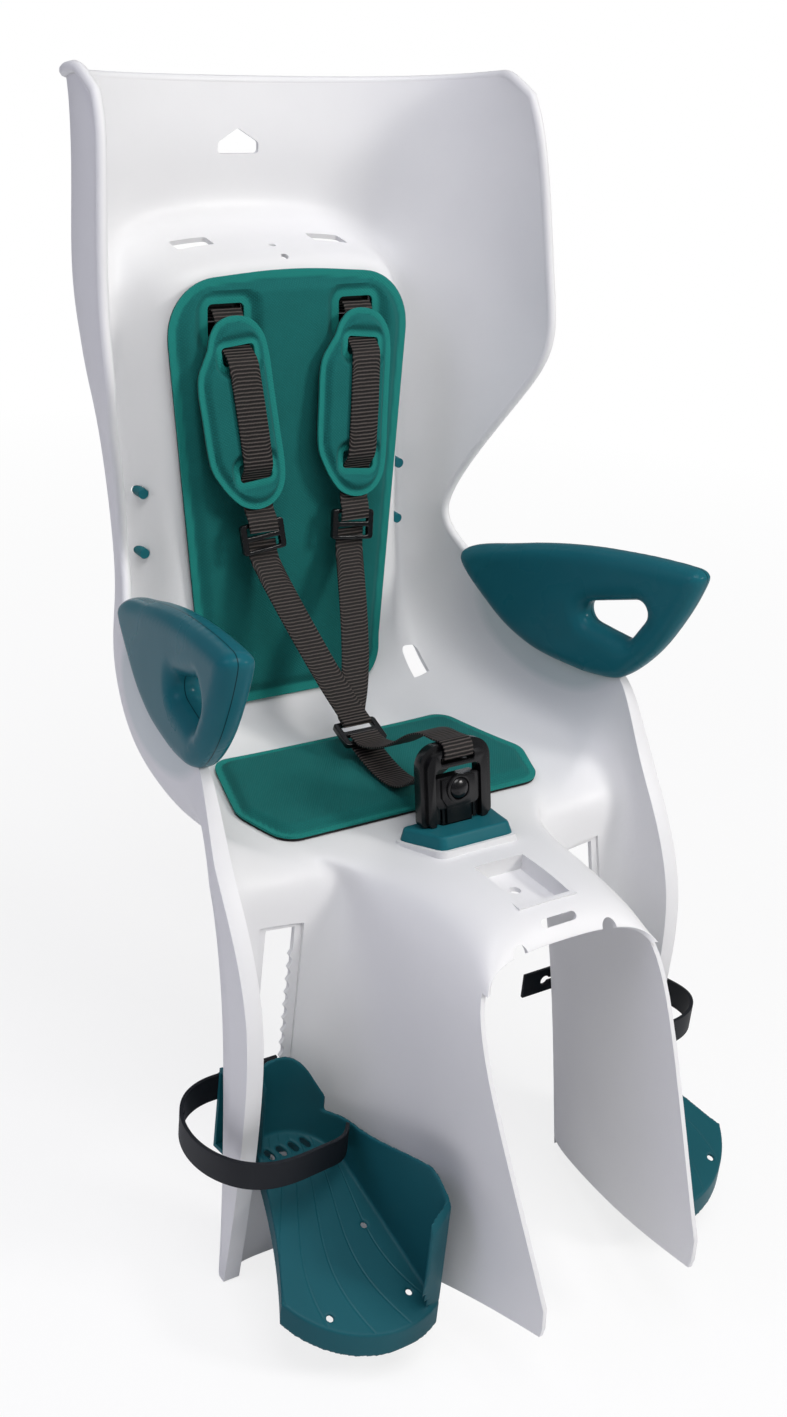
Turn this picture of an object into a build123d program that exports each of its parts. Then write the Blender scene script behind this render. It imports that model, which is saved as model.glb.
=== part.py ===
from build123d import *
import math
import os

# Child bike seat. Millimetres, +Z up, -Y is the front, +X is the child's left.
# The origin is the base screw's bore, halfway through the floor of its pocket.

# Moulded shell: wall and rim
WALL = 3.5
LIP = 13.0
WING_HALF = 188.0
WAIST_HALF = 142.0
RAIL_HALF = 195.0
WING_TOP_Z = 505.0
WING_LOW_Z = 318.0
WAIST_Z = 156.0
BACK_TOP_Y = 449.0
BACK_TOP_Z = 479.0

# Raised back panel, its ledge and the pan
PANEL_HALF = 104.0
PANEL_FOOT_Y = 311.5
PANEL_FOOT_Z = 20.0
PANEL_LEAN = 0.1246
LEDGE_Z = 369.0
LEDGE_SLOT_DEPTH = 44.0
LEDGE_BORE_R = 3.0
PAN_Z = 2.5
PAN_FRONT_Y = 110.0

# Saddle between the legs, wheel guards, leg channels and outer rails
SADDLE_Z = 16.0
SADDLE_HALF = 42.0
ARCH_Y = -58.0
GUARD_TOP_HALF = 82.0
GUARD_LOW_HALF = 62.0
GUARD_HEEL_HALF = 118.0
GUARD_TOP_Z = -20.0
GUARD_TIP_Y = -174.0
GUARD_TIP_Z = -233.0
GUARD_HEEL_Z = -290.0
LEG_BACK_Y = 66.4
LEG_SLOPE = 0.137
LEG_LOW_Z = -303.0
RAIL_Y = 22.0
RAIL_LOW_Y = 38.0

# Base pocket with the screw bore, and the openings of the shell
POCKET_WIDTH = 43.0
POCKET_REAR_Y = 22.0
POCKET_FRONT_Y = -32.0
SCREW_BORE_R = 4.25
HANG_HOLE_WIDTH = 36.0
HANG_HOLE_HEIGHT = 19.0
STRAP_X = 57.5
STRAP_SLOT_WIDTH = 31.0
STRAP_SLOT_HEIGHT = 26.0
STRAP_SLOT_Z = 321.0
LAP_SLOT = (121.0, 335.0, 23.5)
LAP_SLOT_WIDTH = 15.0
LAP_SLOT_HEIGHT = 26.0

# Foot slots with their rack, measured along the slide from the height of the foot straps, and the footrests
FOOT_Z = -185.0
SLOT_X = 152.0
SLOT_SLANT = 0.11
SLOT_WIDTH = 24.0
SLOT_TOP = 145.0
SLOT_LOW = -42.0
SLOT_FRAME = 6.0
SLOT_SINK = 1.0
RACK_PITCH = 10.0
RACK_DEPTH = 2.5
FOOT_WALL = 3.0
SOLE_HEEL_Z = -196.0
SOLE_FALL = 0.41
SKIRT = 20.0
STRAP_Z = -184.0
FOOT_STRAP_WIDTH = 22.0
FOOT_STRAP_THICK = 2.8

# Pads, webbing and buckle
PAD_THICK = 10.0
SEAT_PAD_THICK = 8.0
SEAT_PAD_REAR_Y = 245.5
SHOULDER_PAD_THICK = 8.0
WEB_WIDTH = 25.0
WEB_THICK = 1.6
BUCKLE_Y = 76.0
BUCKLE_WIDTH = 62.0
BUCKLE_HEIGHT = 60.0
BUCKLE_LEAN_DEG = 13.0
BUTTON_R = 7.5
BUTTON_TRAVEL = 3.0

# Armrests
ARM_TURN_DEG = 10.0
ARM_X = RAIL_HALF
ARM_Y = 60.0
ARM_IN = 12.0
ARM_OUT = 15.0
ARM_SEAM = 3.0

# Clearance between pieces that seat on each other
GAP = 0.3


def mix(a, b, t):
    """Value a share t of the way from a to b."""
    return a + (b - a) * t


def panel_y(z):
    """Front of the raised back panel at height z."""
    return PANEL_FOOT_Y + (z - PANEL_FOOT_Z) * PANEL_LEAN


def wall_y(z):
    """Front of a leg's sloping back wall at height z."""
    return LEG_BACK_Y + (z - FOOT_Z) * LEG_SLOPE


PANEL_COLUMNS = [0, 0.42, 0.77, 1.0, 1.12, 1.24]
RAIL_TOP_ROW = 31


def bucket_row(rim_x, rim_y, rim_z, mid_y, mid_z, square):
    """Half a U section from the middle of the back or pan out to the rim."""
    def height(x):
        return 1 - (1 - (x / rim_x) ** square) ** (1 / square)

    reach = min(PANEL_HALF, (rim_x - 14) / PANEL_COLUMNS[-1])
    row = []
    for share in PANEL_COLUMNS:
        h = height(share * reach)
        row.append((share * reach, mix(mid_y, rim_y, h), mix(mid_z, rim_z, h)))
    low = height(PANEL_COLUMNS[-1] * reach)
    for i in range(1, 8):
        h = mix(low, 1.0, i / 7)
        x = rim_x * (1 - (1 - h) ** square) ** (1 / square)
        row.append((x, mix(mid_y, rim_y, h), mix(mid_z, rim_z, h)))
    return row


def raise_panel(row, mid_z):
    """Bring the middle of a back row forward to the face of the raised panel."""
    for i, back_share in enumerate([0, 0, 0, 0.05, 0.5]):
        x, y, z = row[i]
        face = min(y, panel_y(mid_z))
        row[i] = (x, mix(face, y, back_share), mix(mid_z, z, back_share))
    return row


def ledge_row(row, depth, drop):
    """Shape a row over the ledge: depth behind the panel's face and drop below the ledge, per column."""
    for i in range(6):
        row[i] = (row[i][0], panel_y(LEDGE_Z) + depth[i], LEDGE_Z - drop[i])
    return row


def leg_row(saddle_y, saddle_z, leg_z, rail_y, fan):
    """Half a section over the saddle, down the guard, across the leg's back wall and out to the rail.

    The share fan swings the guard's part of the section forward to the guard's front and lower edge.
    """
    back_y = wall_y(leg_z)
    guard = GUARD_TOP_HALF
    inner = RAIL_HALF - LIP
    lift = 32 * (1 - fan)
    row = [
        (0, saddle_y, saddle_z),
        (SADDLE_HALF, saddle_y, saddle_z - 1),
        (mix(SADDLE_HALF, guard, 0.72), saddle_y - 1, saddle_z - 7),
        (guard + 3, mix(saddle_y, back_y, 0.16), mix(saddle_z, leg_z, 0.42)),
        (guard + 4, mix(saddle_y, back_y, 0.75), mix(saddle_z, leg_z, 0.9)),
        (guard + 18, back_y - 4, leg_z),
        (guard + 36, back_y - 1, leg_z),
        (guard + 60, back_y, leg_z),
        (inner - 10, back_y - 1, leg_z + 2),
        (inner - 1, mix(back_y, rail_y, 0.25), leg_z + lift * 0.3),
        (inner, mix(back_y, rail_y, 0.55), leg_z + lift * 0.6),
        (inner, mix(back_y, rail_y, 0.85), leg_z + lift * 0.9),
        (inner, rail_y, leg_z + lift),
    ]
    edge = [
        (guard - 5, ARCH_Y - 8, SADDLE_Z - 28),
        (guard + 4, ARCH_Y - 42, GUARD_TOP_Z - 34),
        (GUARD_LOW_HALF - 4, GUARD_TIP_Y - 41, GUARD_TIP_Z - 50),
        (mix(GUARD_LOW_HALF, GUARD_HEEL_HALF, 0.65), mix(GUARD_TIP_Y, LEG_BACK_Y, 0.65), LEG_LOW_Z + 8),
        (GUARD_HEEL_HALF, wall_y(LEG_LOW_Z) - 2, LEG_LOW_Z + 3),
    ]
    for i, point in enumerate(edge, start=2):
        row[i] = tuple(mix(a, b, fan) for a, b in zip(row[i], point))
    return row


def shell_net():
    """Rows of half sections, top edge to leg channels, that the moulded sheet follows."""
    wing = WING_HALF
    waist = WAIST_HALF
    rail = RAIL_HALF - LIP
    rows = [
        bucket_row(wing - 9, 320, WING_TOP_Z, BACK_TOP_Y, BACK_TOP_Z, 2.6),
        bucket_row(wing - 8, 305, WING_TOP_Z - 19, BACK_TOP_Y - 3, BACK_TOP_Z - 17, 2.6),
        bucket_row(wing - 5, 290, mix(WING_LOW_Z, WING_TOP_Z, 0.6), BACK_TOP_Y - 10, BACK_TOP_Z - 55, 2.6),
        bucket_row(wing, 276, mix(WING_LOW_Z, WING_TOP_Z, 0.2), BACK_TOP_Y - 14, LEDGE_Z + 24, 2.6),
        bucket_row(wing, 264, WING_LOW_Z, BACK_TOP_Y - 16, LEDGE_Z, 2.6),
        bucket_row(wing - 4, 267, WING_LOW_Z - 24, BACK_TOP_Y - 20, LEDGE_Z - 14, 2.6),
        bucket_row(wing - 10, 279, WING_LOW_Z - 48, BACK_TOP_Y - 24, LEDGE_Z - 32, 2.6),
        bucket_row(mix(waist, wing, 0.5), 295, mix(WAIST_Z, WING_LOW_Z, 0.5), BACK_TOP_Y - 30, 298, 2.6),
        bucket_row(mix(waist, wing, 0.2), 316, mix(WAIST_Z, WING_LOW_Z, 0.24), BACK_TOP_Y - 40, 222, 2.6),
        bucket_row(waist, 329, WAIST_Z, BACK_TOP_Y - 53, 135, 2.6),
        bucket_row(mix(waist, rail, 0.125), 311, WAIST_Z - 22, BACK_TOP_Y - 64, 82, 2.6),
        bucket_row(mix(waist, rail, 0.5), 280, WAIST_Z - 46, BACK_TOP_Y - 80, 38, 2.8),
        bucket_row(mix(waist, rail, 0.775), 222, WAIST_Z - 60, PANEL_FOOT_Y - 22, PAN_Z + 1, 4.6),
        bucket_row(mix(waist, rail, 0.925), 165, WAIST_Z - 64, 215, PAN_Z, 6.0),
        bucket_row(rail, 128, WAIST_Z - 68, 150, PAN_Z, 6.0),
    ]
    rows[0][-2] = (wing - 11, 340, WING_TOP_Z - 5)
    rows[0][-1] = (wing - 10, 312, WING_TOP_Z - 17)
    rows[1][-1] = (wing - 9, 301, WING_TOP_Z - 35)
    ledge_row(rows[3], [90, 88, 84, 76, 70, 62], [-18, -16, -14, -10, -6, -3])
    ledge_row(rows[4], [64, 63, 62, 60, 56, 50], [0, 0, 3, 9, 13, 14])
    ledge_row(rows[5], [3, 3, 6, 20, 38, 42], [0, 0, 4, 16, 26, 28])
    ledge_row(rows[6], [-6, -6, -6, 2, 24, 38], [18, 18, 21, 32, 42, 46])
    for row, mid_z in zip(rows[7:12], [298, 222, 135, 82, 38]):
        raise_panel(row, mid_z)
    hip = [(0.71, 3), (0.78, 4), (0.87, 7), (0.95, 20), (0.99, 40), (1.0, 60), (1.0, 76)]
    front = [(share * PANEL_HALF, PAN_FRONT_Y, PAN_Z + 0.5) for share in PANEL_COLUMNS]
    rows.append(front + [(share * rail, PAN_FRONT_Y, z) for share, z in hip])
    rows.append(leg_row(80, 7, -8, 82, 0.0))
    rows.append(leg_row(48, 13, -40, 56, 0.0))
    rows.append(leg_row(4, SADDLE_Z, -92, RAIL_Y + 3, 0.12))
    rows.append(leg_row(-34, SADDLE_Z - 1, -155, RAIL_Y, 0.4))
    rows.append(leg_row(mix(-34, ARCH_Y, 0.6), SADDLE_Z - 8, -235, mix(RAIL_Y, RAIL_LOW_Y, 0.4), 0.75))
    rows.append(leg_row(ARCH_Y, SADDLE_Z - 20, LEG_LOW_Z, RAIL_LOW_Y, 1.0))
    return rows


def pull(line, halves=False):
    """Smooth a line of control points as a cubic spline does, with points halfway between on request."""
    first = tuple(2 * a - b for a, b in zip(line[0], line[1]))
    last = tuple(2 * a - b for a, b in zip(line[-1], line[-2]))
    full = [first] + list(line) + [last]
    smooth = []
    for k in range(1, len(full) - 1):
        before, here, after = full[k - 1:k + 2]
        smooth.append(tuple((a + 4 * b + c) / 6 for a, b, c in zip(before, here, after)))
        if halves and k + 2 < len(full):
            beyond = full[k + 2]
            four = zip(before, here, after, beyond)
            smooth.append(tuple((a + 23 * b + 23 * c + d) / 48 for a, b, c, d in four))
    return smooth


def sheet_rows(reach=0.0):
    """Points on the child's side of the sheet, each row from rim to rim, lengthened at the rims by reach."""
    whole = []
    for row in shell_net():
        mirrored = [(-x, y, z) for x, y, z in reversed(row[1:])]
        whole.append(pull(mirrored + row))
    columns = [pull(column, halves=True) for column in zip(*whole)]
    rows = [[Vector(*point) for point in row] for row in zip(*columns)]
    for row in rows:
        row[0] = row[0] + (row[0] - row[1]).normalized() * reach
        row[-1] = row[-1] + (row[-1] - row[-2]).normalized() * reach
    return rows


def wall_depth(j, i, columns):
    """Thickness of the sheet at a row and column: a plain wall that swells to the rail's rounded lip."""
    to_rim = min(i, columns - 1 - i)
    swell = [1.0, 1.0, 1.0, 0.8][to_rim] if to_rim < 4 else 0.0
    below_arm = min(1.0, max(0.0, (j - 27) / 5))
    return mix(WALL, LIP, swell * below_arm)


def offset_rows(rows, grow):
    """Rows moved outwards by the wall's depth and grow, or just by grow where it is negative."""
    moved = []
    for j, row in enumerate(rows):
        above = rows[max(j - 1, 0)]
        below = rows[min(j + 1, len(rows) - 1)]
        line = []
        for i, point in enumerate(row):
            along = row[min(i + 1, len(row) - 1)] - row[max(i - 1, 0)]
            down = below[i] - above[i]
            depth = grow if grow < 0 else wall_depth(j, i, len(row)) + grow
            line.append(point + along.cross(down).normalized() * depth)
        moved.append(line)
    return moved


def sheet_face(rows):
    """Smooth face through the rows."""
    wires = []
    for row in rows:
        steps = [i / (len(row) - 1) for i in range(len(row))]
        wires.append(Wire([Edge.make_spline(row, parameters=steps)]))
    return Shell.make_loft(wires).faces()[0]


def sheet_solid(clearance=0.0):
    """The moulded wall, or a blade that is larger than it all round by a clearance."""
    rows = sheet_rows(clearance)
    near = sheet_face(offset_rows(rows, -clearance) if clearance else rows)
    far = sheet_face(offset_rows(rows, clearance))
    sides = []
    for edge in near.edges():
        middle = edge @ 0.5
        partner = min(far.edges(), key=lambda e: (e @ 0.5 - middle).length)
        sides.append(Face.make_surface_from_curves(edge, partner))
    return Solid(Shell([near, far] + sides))


def box(x, y, z):
    """Box between two corners given as (low, high) pairs."""
    size = [high - low for low, high in (x, y, z)]
    return Pos(x[0], y[0], z[0]) * Box(*size, align=Align.MIN)


def slide_plane():
    """Frame of the child's left foot slot: Z up the slide, Y to the rear through the leg's back wall."""
    axis = Vector(-SLOT_SLANT, LEG_SLOPE, 1).normalized()
    rear = Vector(0, 1, -LEG_SLOPE).normalized()
    return Plane(origin=(SLOT_X, LEG_BACK_Y, FOOT_Z), x_dir=rear.cross(axis), z_dir=axis)


def rail_groove():
    """Hollow of the child's left rail, open to the rear and below."""
    rows = sheet_rows()
    line = []
    for row in rows[RAIL_TOP_ROW:]:
        inward = (row[-2] - row[-1]).normalized()
        point = row[-1] + inward * (LIP / 2)
        line.append((point.Y, point.Z))
    top, low = line[0], line[-1]
    line += [(low[0], low[1] - 20), (low[0] + 90, low[1] - 20), (top[0] + 90, top[1])]
    outline = Polygon(*line, align=None)
    inner = RAIL_HALF - LIP + WALL
    return extrude(Plane.YZ.offset(inner) * outline, LIP - 2 * WALL, dir=(1, 0, 0))


def guard_trim():
    """Everything ahead of the guard's straight front edge and below its lower edge."""
    heel_y = wall_y(GUARD_HEEL_Z) - 8
    outline = Polygon(
        (ARCH_Y - 8, GUARD_TOP_Z), (GUARD_TIP_Y, GUARD_TIP_Z), (heel_y, GUARD_HEEL_Z), (heel_y, LEG_LOW_Z - 60),
        (GUARD_TIP_Y - 120, LEG_LOW_Z - 60), (GUARD_TIP_Y - 120, GUARD_TOP_Z), align=None,
    )
    outline = fillet(outline.vertices().sort_by_distance((GUARD_TIP_Y, GUARD_TIP_Z, 0))[0], 7)
    return extrude(Plane.YZ * outline, GUARD_HEEL_HALF + 30, both=True)


def slot_frame():
    """Flat frame round the child's left foot slot, with the room ahead of it that the sheet gives up."""
    half = SLOT_WIDTH / 2 + SLOT_FRAME
    z = (SLOT_LOW - SLOT_FRAME, SLOT_TOP + SLOT_FRAME / 2)
    plane = slide_plane()
    frame = plane * box((-half, half), (SLOT_SINK, SLOT_SINK + WALL + 0.5), z)
    room = plane * box((-half, half), (-10, SLOT_SINK), z)
    slot = plane * box((-SLOT_WIDTH / 2, SLOT_WIDTH / 2), (-20, 20), (SLOT_LOW, SLOT_TOP))
    return frame, room, slot


def rack():
    """Ratchet teeth on the inner edge of the child's left foot slot."""
    edge = -SLOT_WIDTH / 2
    count = int((SLOT_TOP - SLOT_LOW - RACK_PITCH) / RACK_PITCH)
    points = [(edge - 1, SLOT_LOW + 2)]
    for i in range(count):
        z = SLOT_LOW + 2 + i * RACK_PITCH
        points += [(edge, z), (edge + RACK_DEPTH, z + RACK_PITCH * 0.35), (edge, z + RACK_PITCH * 0.7)]
    points.append((edge - 1, SLOT_LOW + 2 + count * RACK_PITCH))
    face = Plane.XZ * Polygon(*points, align=None)
    return slide_plane() * Pos(0, SLOT_SINK, 0) * extrude(face, WALL, dir=(0, 1, 0))


def both(piece):
    """A piece and its mirror image on the child's right."""
    return [piece, mirror(piece, Plane.YZ)]


def make_shell():
    """The moulded one-piece shell with its openings."""
    body = sheet_solid() - guard_trim()
    pocket_y = (POCKET_FRONT_Y, POCKET_REAR_Y)
    half = POCKET_WIDTH / 2
    walls = (pocket_y[0] - WALL, pocket_y[1] + WALL)
    pocket = box((-half - WALL, half + WALL), walls, (-WALL / 2, SADDLE_Z - 2.5))
    hollow = box((-half, half), pocket_y, (WALL / 2, 60))
    body = (body + pocket) - hollow
    frame, room, slot = slot_frame()
    for side_frame, side_room in zip(both(frame), both(room)):
        body = body - side_room + side_frame
    foot = Plane(origin=on_buckle(0, 0), x_dir=(1, 0, 0), z_dir=buckle_plane().y_dir)
    house = Polygon(
        (-HANG_HOLE_WIDTH / 2, 0), (HANG_HOLE_WIDTH / 2, 0), (HANG_HOLE_WIDTH / 2, HANG_HOLE_HEIGHT * 0.45),
        (0, HANG_HOLE_HEIGHT), (-HANG_HOLE_WIDTH / 2, HANG_HOLE_HEIGHT * 0.45), align=None,
    )
    house = fillet(house.vertices(), 3)
    ledge_y = panel_y(LEDGE_Z) + LEDGE_SLOT_DEPTH
    cuts = [
        Pos(0, BACK_TOP_Y + 60, BACK_TOP_Z - 53) * extrude(Plane.XZ * house, 120),
        Cylinder(SCREW_BORE_R, 40),
        Pos(0, ledge_y - 18, LEDGE_Z) * Cylinder(LEDGE_BORE_R, 40),
        Pos(0, ledge_y - 30, LEDGE_Z - 13) * Rot(45, 0, 0) * Cylinder(LEDGE_BORE_R, 40),
        Pos(0, ARCH_Y + 13, SADDLE_Z - 13) * Rot(50, 0, 0) * extrude(SlotOverall(30, 6.5), 15, both=True),
        extrude(foot * Rectangle(NECK_WIDTH + 1, NECK_THICK + 1), 30, both=True),
        *both(slot),
        *both(rail_groove()),
    ]
    for side in (-1, 1):
        cuts.append(Pos(side * 60, ledge_y, LEDGE_Z) * Box(31, 17, 40))
        at = (side * STRAP_X, panel_y(STRAP_SLOT_Z), STRAP_SLOT_Z)
        cuts.append(Pos(*at) * Box(STRAP_SLOT_WIDTH, 40, STRAP_SLOT_HEIGHT))
        cuts.append(Pos(side * LAP_SLOT[0], *LAP_SLOT[1:]) * Box(LAP_SLOT_WIDTH, 80, LAP_SLOT_HEIGHT))
        cuts.append(Pos(side * 38.5, ARCH_Y, SADDLE_Z - 22) * Rot(90, 0, 0) * Cylinder(6, 40))
    for cut in cuts:
        body = body - cut
    for teeth in both(rack()):
        body = body + teeth
    return body


def ribbon(route, width, thick):
    """Flat band along a route, level across its width."""
    points = [Vector(*p) for p in route]
    sections = []
    for i, point in enumerate(points):
        along = points[min(i + 1, len(points) - 1)] - points[max(i - 1, 0)]
        plane = Plane(origin=point, x_dir=(1, 0, 0), z_dir=(0, along.Y, along.Z))
        sections.append(plane * Rectangle(width, thick))
    return loft(sections, ruled=True)


def band(line, plane, width, thick):
    """Flat band along a line drawn in a plane, wide to both sides of the plane."""
    return extrude(plane * trace(line, thick), width / 2, both=True)


def largest(shape):
    """The largest solid of a shape."""
    return shape.solids().sort_by(SortBy.VOLUME)[-1]


def panel_plane(ahead):
    """Plane along the raised panel, ahead of it by a distance; its local origin is the panel's foot."""
    slope = math.atan(PANEL_LEAN)
    normal = Vector(0, -math.cos(slope), math.sin(slope))
    return Plane(origin=Vector(0, PANEL_FOOT_Y, PANEL_FOOT_Z) + normal * ahead, x_dir=(1, 0, 0), z_dir=normal)


def panel_rise(z):
    """Distance up the panel of the height z."""
    return (z - PANEL_FOOT_Z) / math.cos(math.atan(PANEL_LEAN))


def make_back_pad(blade):
    """Flat pad on the raised panel, with a hole for each shoulder strap."""
    low = panel_rise(PANEL_FOOT_Z + 3)
    wide = panel_rise(LEDGE_Z - 62)
    top = panel_rise(LEDGE_Z - 14)
    half = PANEL_HALF + 1.5
    outline = Polygon(
        (-half + 24, low), (half - 24, low), (half, wide), (half - 1, top), (1 - half, top), (-half, wide),
        align=None,
    )
    corners = outline.vertices().sort_by(Axis.Y)
    outline = fillet(corners[:2], 28)
    outline = fillet(outline.vertices().sort_by(Axis.Y)[-2:], 40)
    pad = extrude(panel_plane(GAP) * outline, PAD_THICK)
    edge = pad.faces().sort_by(Axis.Y)[0].edges()
    pad = fillet(edge, PAD_THICK / 4)
    for side in (-1, 1):
        hole = Rectangle(STRAP_SLOT_WIDTH, STRAP_SLOT_HEIGHT)
        at = Pos(side * STRAP_X, panel_rise(STRAP_SLOT_Z), 0)
        pad = pad - extrude(panel_plane(-5) * at * hole, PAD_THICK + 20)
    return largest(pad - blade)


def make_seat_pad(blade):
    """Flat pad on the pan."""
    rear = SEAT_PAD_REAR_Y
    front = PAN_FRONT_Y + 10
    outline = Polygon(
        (-108, rear), (-131, front + 45), (-115, front), (115, front), (131, front + 45), (108, rear),
        align=None,
    )
    outline = fillet(outline.vertices(), 18)
    pad = extrude(Pos(0, 0, PAN_Z + 1) * outline, SEAT_PAD_THICK)
    pad = fillet(pad.faces().sort_by(Axis.Z)[-1].edges(), SEAT_PAD_THICK / 4)
    return largest(pad - blade)


HARNESS_LEAN = 0.228
HARNESS_PULL = 0.103
HARNESS_STAND = PAD_THICK + 3
SHOULDER_START = -7.0
SHOULDER_LENGTH = 146.0
SHOULDER_WIDTH = 64.0
SHOULDER_SLOTS = (22.0, 110.0)
ADJUSTER_AT = 161.0


def on_harness(side, down, out):
    """Point on a shoulder strap: distance down from the panel's slot and out from the strap's plane."""
    length = math.hypot(1, HARNESS_LEAN)
    start = Vector(side * STRAP_X, panel_y(STRAP_SLOT_Z) - HARNESS_STAND, STRAP_SLOT_Z)
    along = Vector(-side * HARNESS_PULL, -HARNESS_LEAN / length, -1 / length)
    normal = Vector(0, -1 / length, HARNESS_LEAN / length)
    return start + along * down + normal * out


def harness_plane(side, down, out):
    """Plane on a shoulder strap with its Y axis up the strap."""
    origin = on_harness(side, down, out)
    up = (on_harness(side, 0, 0) - on_harness(side, 1, 0)).normalized()
    normal = (on_harness(side, 0, 1) - on_harness(side, 0, 0)).normalized()
    return Plane(origin=origin, x_dir=up.cross(normal), z_dir=normal)


def make_shoulder_pad(side):
    """Oblong pad that the strap passes through at two cross slots."""
    middle = SHOULDER_START + SHOULDER_LENGTH / 2
    plane = harness_plane(side, middle, 0)
    pad = extrude(plane * RectangleRounded(SHOULDER_WIDTH, SHOULDER_LENGTH, 20), SHOULDER_PAD_THICK)
    for down in SHOULDER_SLOTS:
        hole = Pos(0, middle - down, 0) * Rectangle(WEB_WIDTH + 4, 22)
        pad = pad - extrude(plane * hole, 30, both=True)
    return pad


def make_shoulder_strap(side):
    """Webbing from behind the panel through the shoulder pad to the adjuster."""
    slot = panel_plane(0) * Pos(side * STRAP_X, panel_rise(STRAP_SLOT_Z), 0)
    behind = -GAP - WEB_THICK / 2
    above = SHOULDER_PAD_THICK + GAP + WEB_THICK / 2
    over_bar = ADJUSTER_THICK / 2 + GAP + WEB_THICK / 2 + behind
    first, second = SHOULDER_SLOTS
    route = [
        (slot * Pos(0, 0, -WALL - 2)).position,
        (slot * Pos(0, 0, 5)).position,
        on_harness(side, 3, behind),
        on_harness(side, first - 8, behind),
        on_harness(side, first + 8, above),
        on_harness(side, second - 8, above),
        on_harness(side, second + 8, behind),
        on_harness(side, ADJUSTER_AT - 21, behind),
        on_harness(side, ADJUSTER_AT - 14, over_bar),
        on_harness(side, ADJUSTER_AT - 4, over_bar),
    ]
    return ribbon(route, WEB_WIDTH, WEB_THICK)


ADJUSTER_WIDTH = 38.0
ADJUSTER_HEIGHT = 24.0
ADJUSTER_THICK = 4.5


def slide_plate(plane):
    """Three-bar slide with two windows for webbing, centred on a plane."""
    plate = extrude(plane * RectangleRounded(ADJUSTER_WIDTH, ADJUSTER_HEIGHT, 3), ADJUSTER_THICK / 2, both=True)
    for v in (-ADJUSTER_HEIGHT / 4 + 0.5, ADJUSTER_HEIGHT / 4 - 0.5):
        window = Pos(0, v, 0) * Rectangle(WEB_WIDTH + 3, 7)
        plate = plate - extrude(plane * window, 20, both=True)
    return plate


def make_adjuster(side):
    """Ladder lock below a shoulder pad."""
    return slide_plate(harness_plane(side, ADJUSTER_AT, -GAP - WEB_THICK / 2))


JUNCTION_Y = 206.0
JUNCTION_Z = 30.0
JUNCTION_TILT_DEG = 20.0


def junction(along, out):
    """Point at the slide where both lower straps meet: distance back along it and out of it."""
    turn = math.radians(JUNCTION_TILT_DEG)
    y = JUNCTION_Y + along * math.cos(turn) - out * math.sin(turn)
    z = JUNCTION_Z + along * math.sin(turn) + out * math.cos(turn)
    return Vector(0, y, z)


def make_lower_strap(side):
    """Webbing from an adjuster down to the slide in the middle, one strap above the other there."""
    layer = WEB_THICK + GAP
    above = ADJUSTER_THICK / 2 + GAP + WEB_THICK / 2 + (layer if side < 0 else 0)
    under_bar = -2 * GAP - WEB_THICK - ADJUSTER_THICK / 2
    start = on_harness(side, ADJUSTER_AT + 20, under_bar)
    end = junction(17, above)
    sag = Vector(0, -10, layer - 10 if side < 0 else -10)
    route = [
        on_harness(side, ADJUSTER_AT + 3, under_bar),
        start,
        start + (end - start) * 0.35 + sag,
        start + (end - start) * 0.7 + sag,
        end,
        junction(5, above),
    ]
    return ribbon(route, WEB_WIDTH, WEB_THICK)


def make_slide():
    """Slide where both lower straps meet the buckle's loop."""
    origin = junction(0, 0)
    plane = Plane(origin=origin, x_dir=(1, 0, 0), z_dir=junction(0, 1) - origin)
    return slide_plate(plane)


BUCKLE_FOOT_Z = 17.0
BUCKLE_THICK = 9.0
WINDOW_WIDTH = 40.0
WINDOW_TOP = 44.0
WEB_SLOT_AT = 50.5
HOUSING_LOW = 13.0
HOUSING_FRONT = 9.0
BUTTON_AT = 28.0
NECK_WIDTH = 26.0
NECK_THICK = 7.0
SPRING_WIDTH = 5.0
SPRING_THICK = 0.4


def buckle_plane(up=0.0):
    """Plane of the buckle, leaning back; its Y axis runs up the buckle and Z out of its face."""
    lean = math.radians(BUCKLE_LEAN_DEG)
    rise = Vector(0, math.sin(lean), math.cos(lean))
    normal = Vector(0, -math.cos(lean), math.sin(lean))
    return Plane(origin=Vector(0, BUCKLE_Y, BUCKLE_FOOT_Z) + rise * up, x_dir=(1, 0, 0), z_dir=normal)


def on_buckle(up, out):
    """Point in the middle of the buckle, up it and out of its face."""
    plane = buckle_plane()
    return plane.origin + plane.y_dir * up + plane.z_dir * out


def make_buckle_frame():
    """Arched frame that drops over the post, with a slot for the webbing loop."""
    plane = buckle_plane()
    outline = Pos(0, 2 + BUCKLE_HEIGHT / 2, 0) * RectangleRounded(BUCKLE_WIDTH, BUCKLE_HEIGHT, 9)
    outline = outline - Pos(0, WINDOW_TOP - 30, 0) * Rectangle(WINDOW_WIDTH, 60)
    outline = outline - Pos(0, WEB_SLOT_AT, 0) * RectangleRounded(WEB_WIDTH + 5, 6, 2)
    frame = extrude(plane * outline, BUCKLE_THICK / 2, both=True)
    return fillet(frame.faces().sort_by(Axis.Y)[0].edges(), 1.0)


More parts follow.
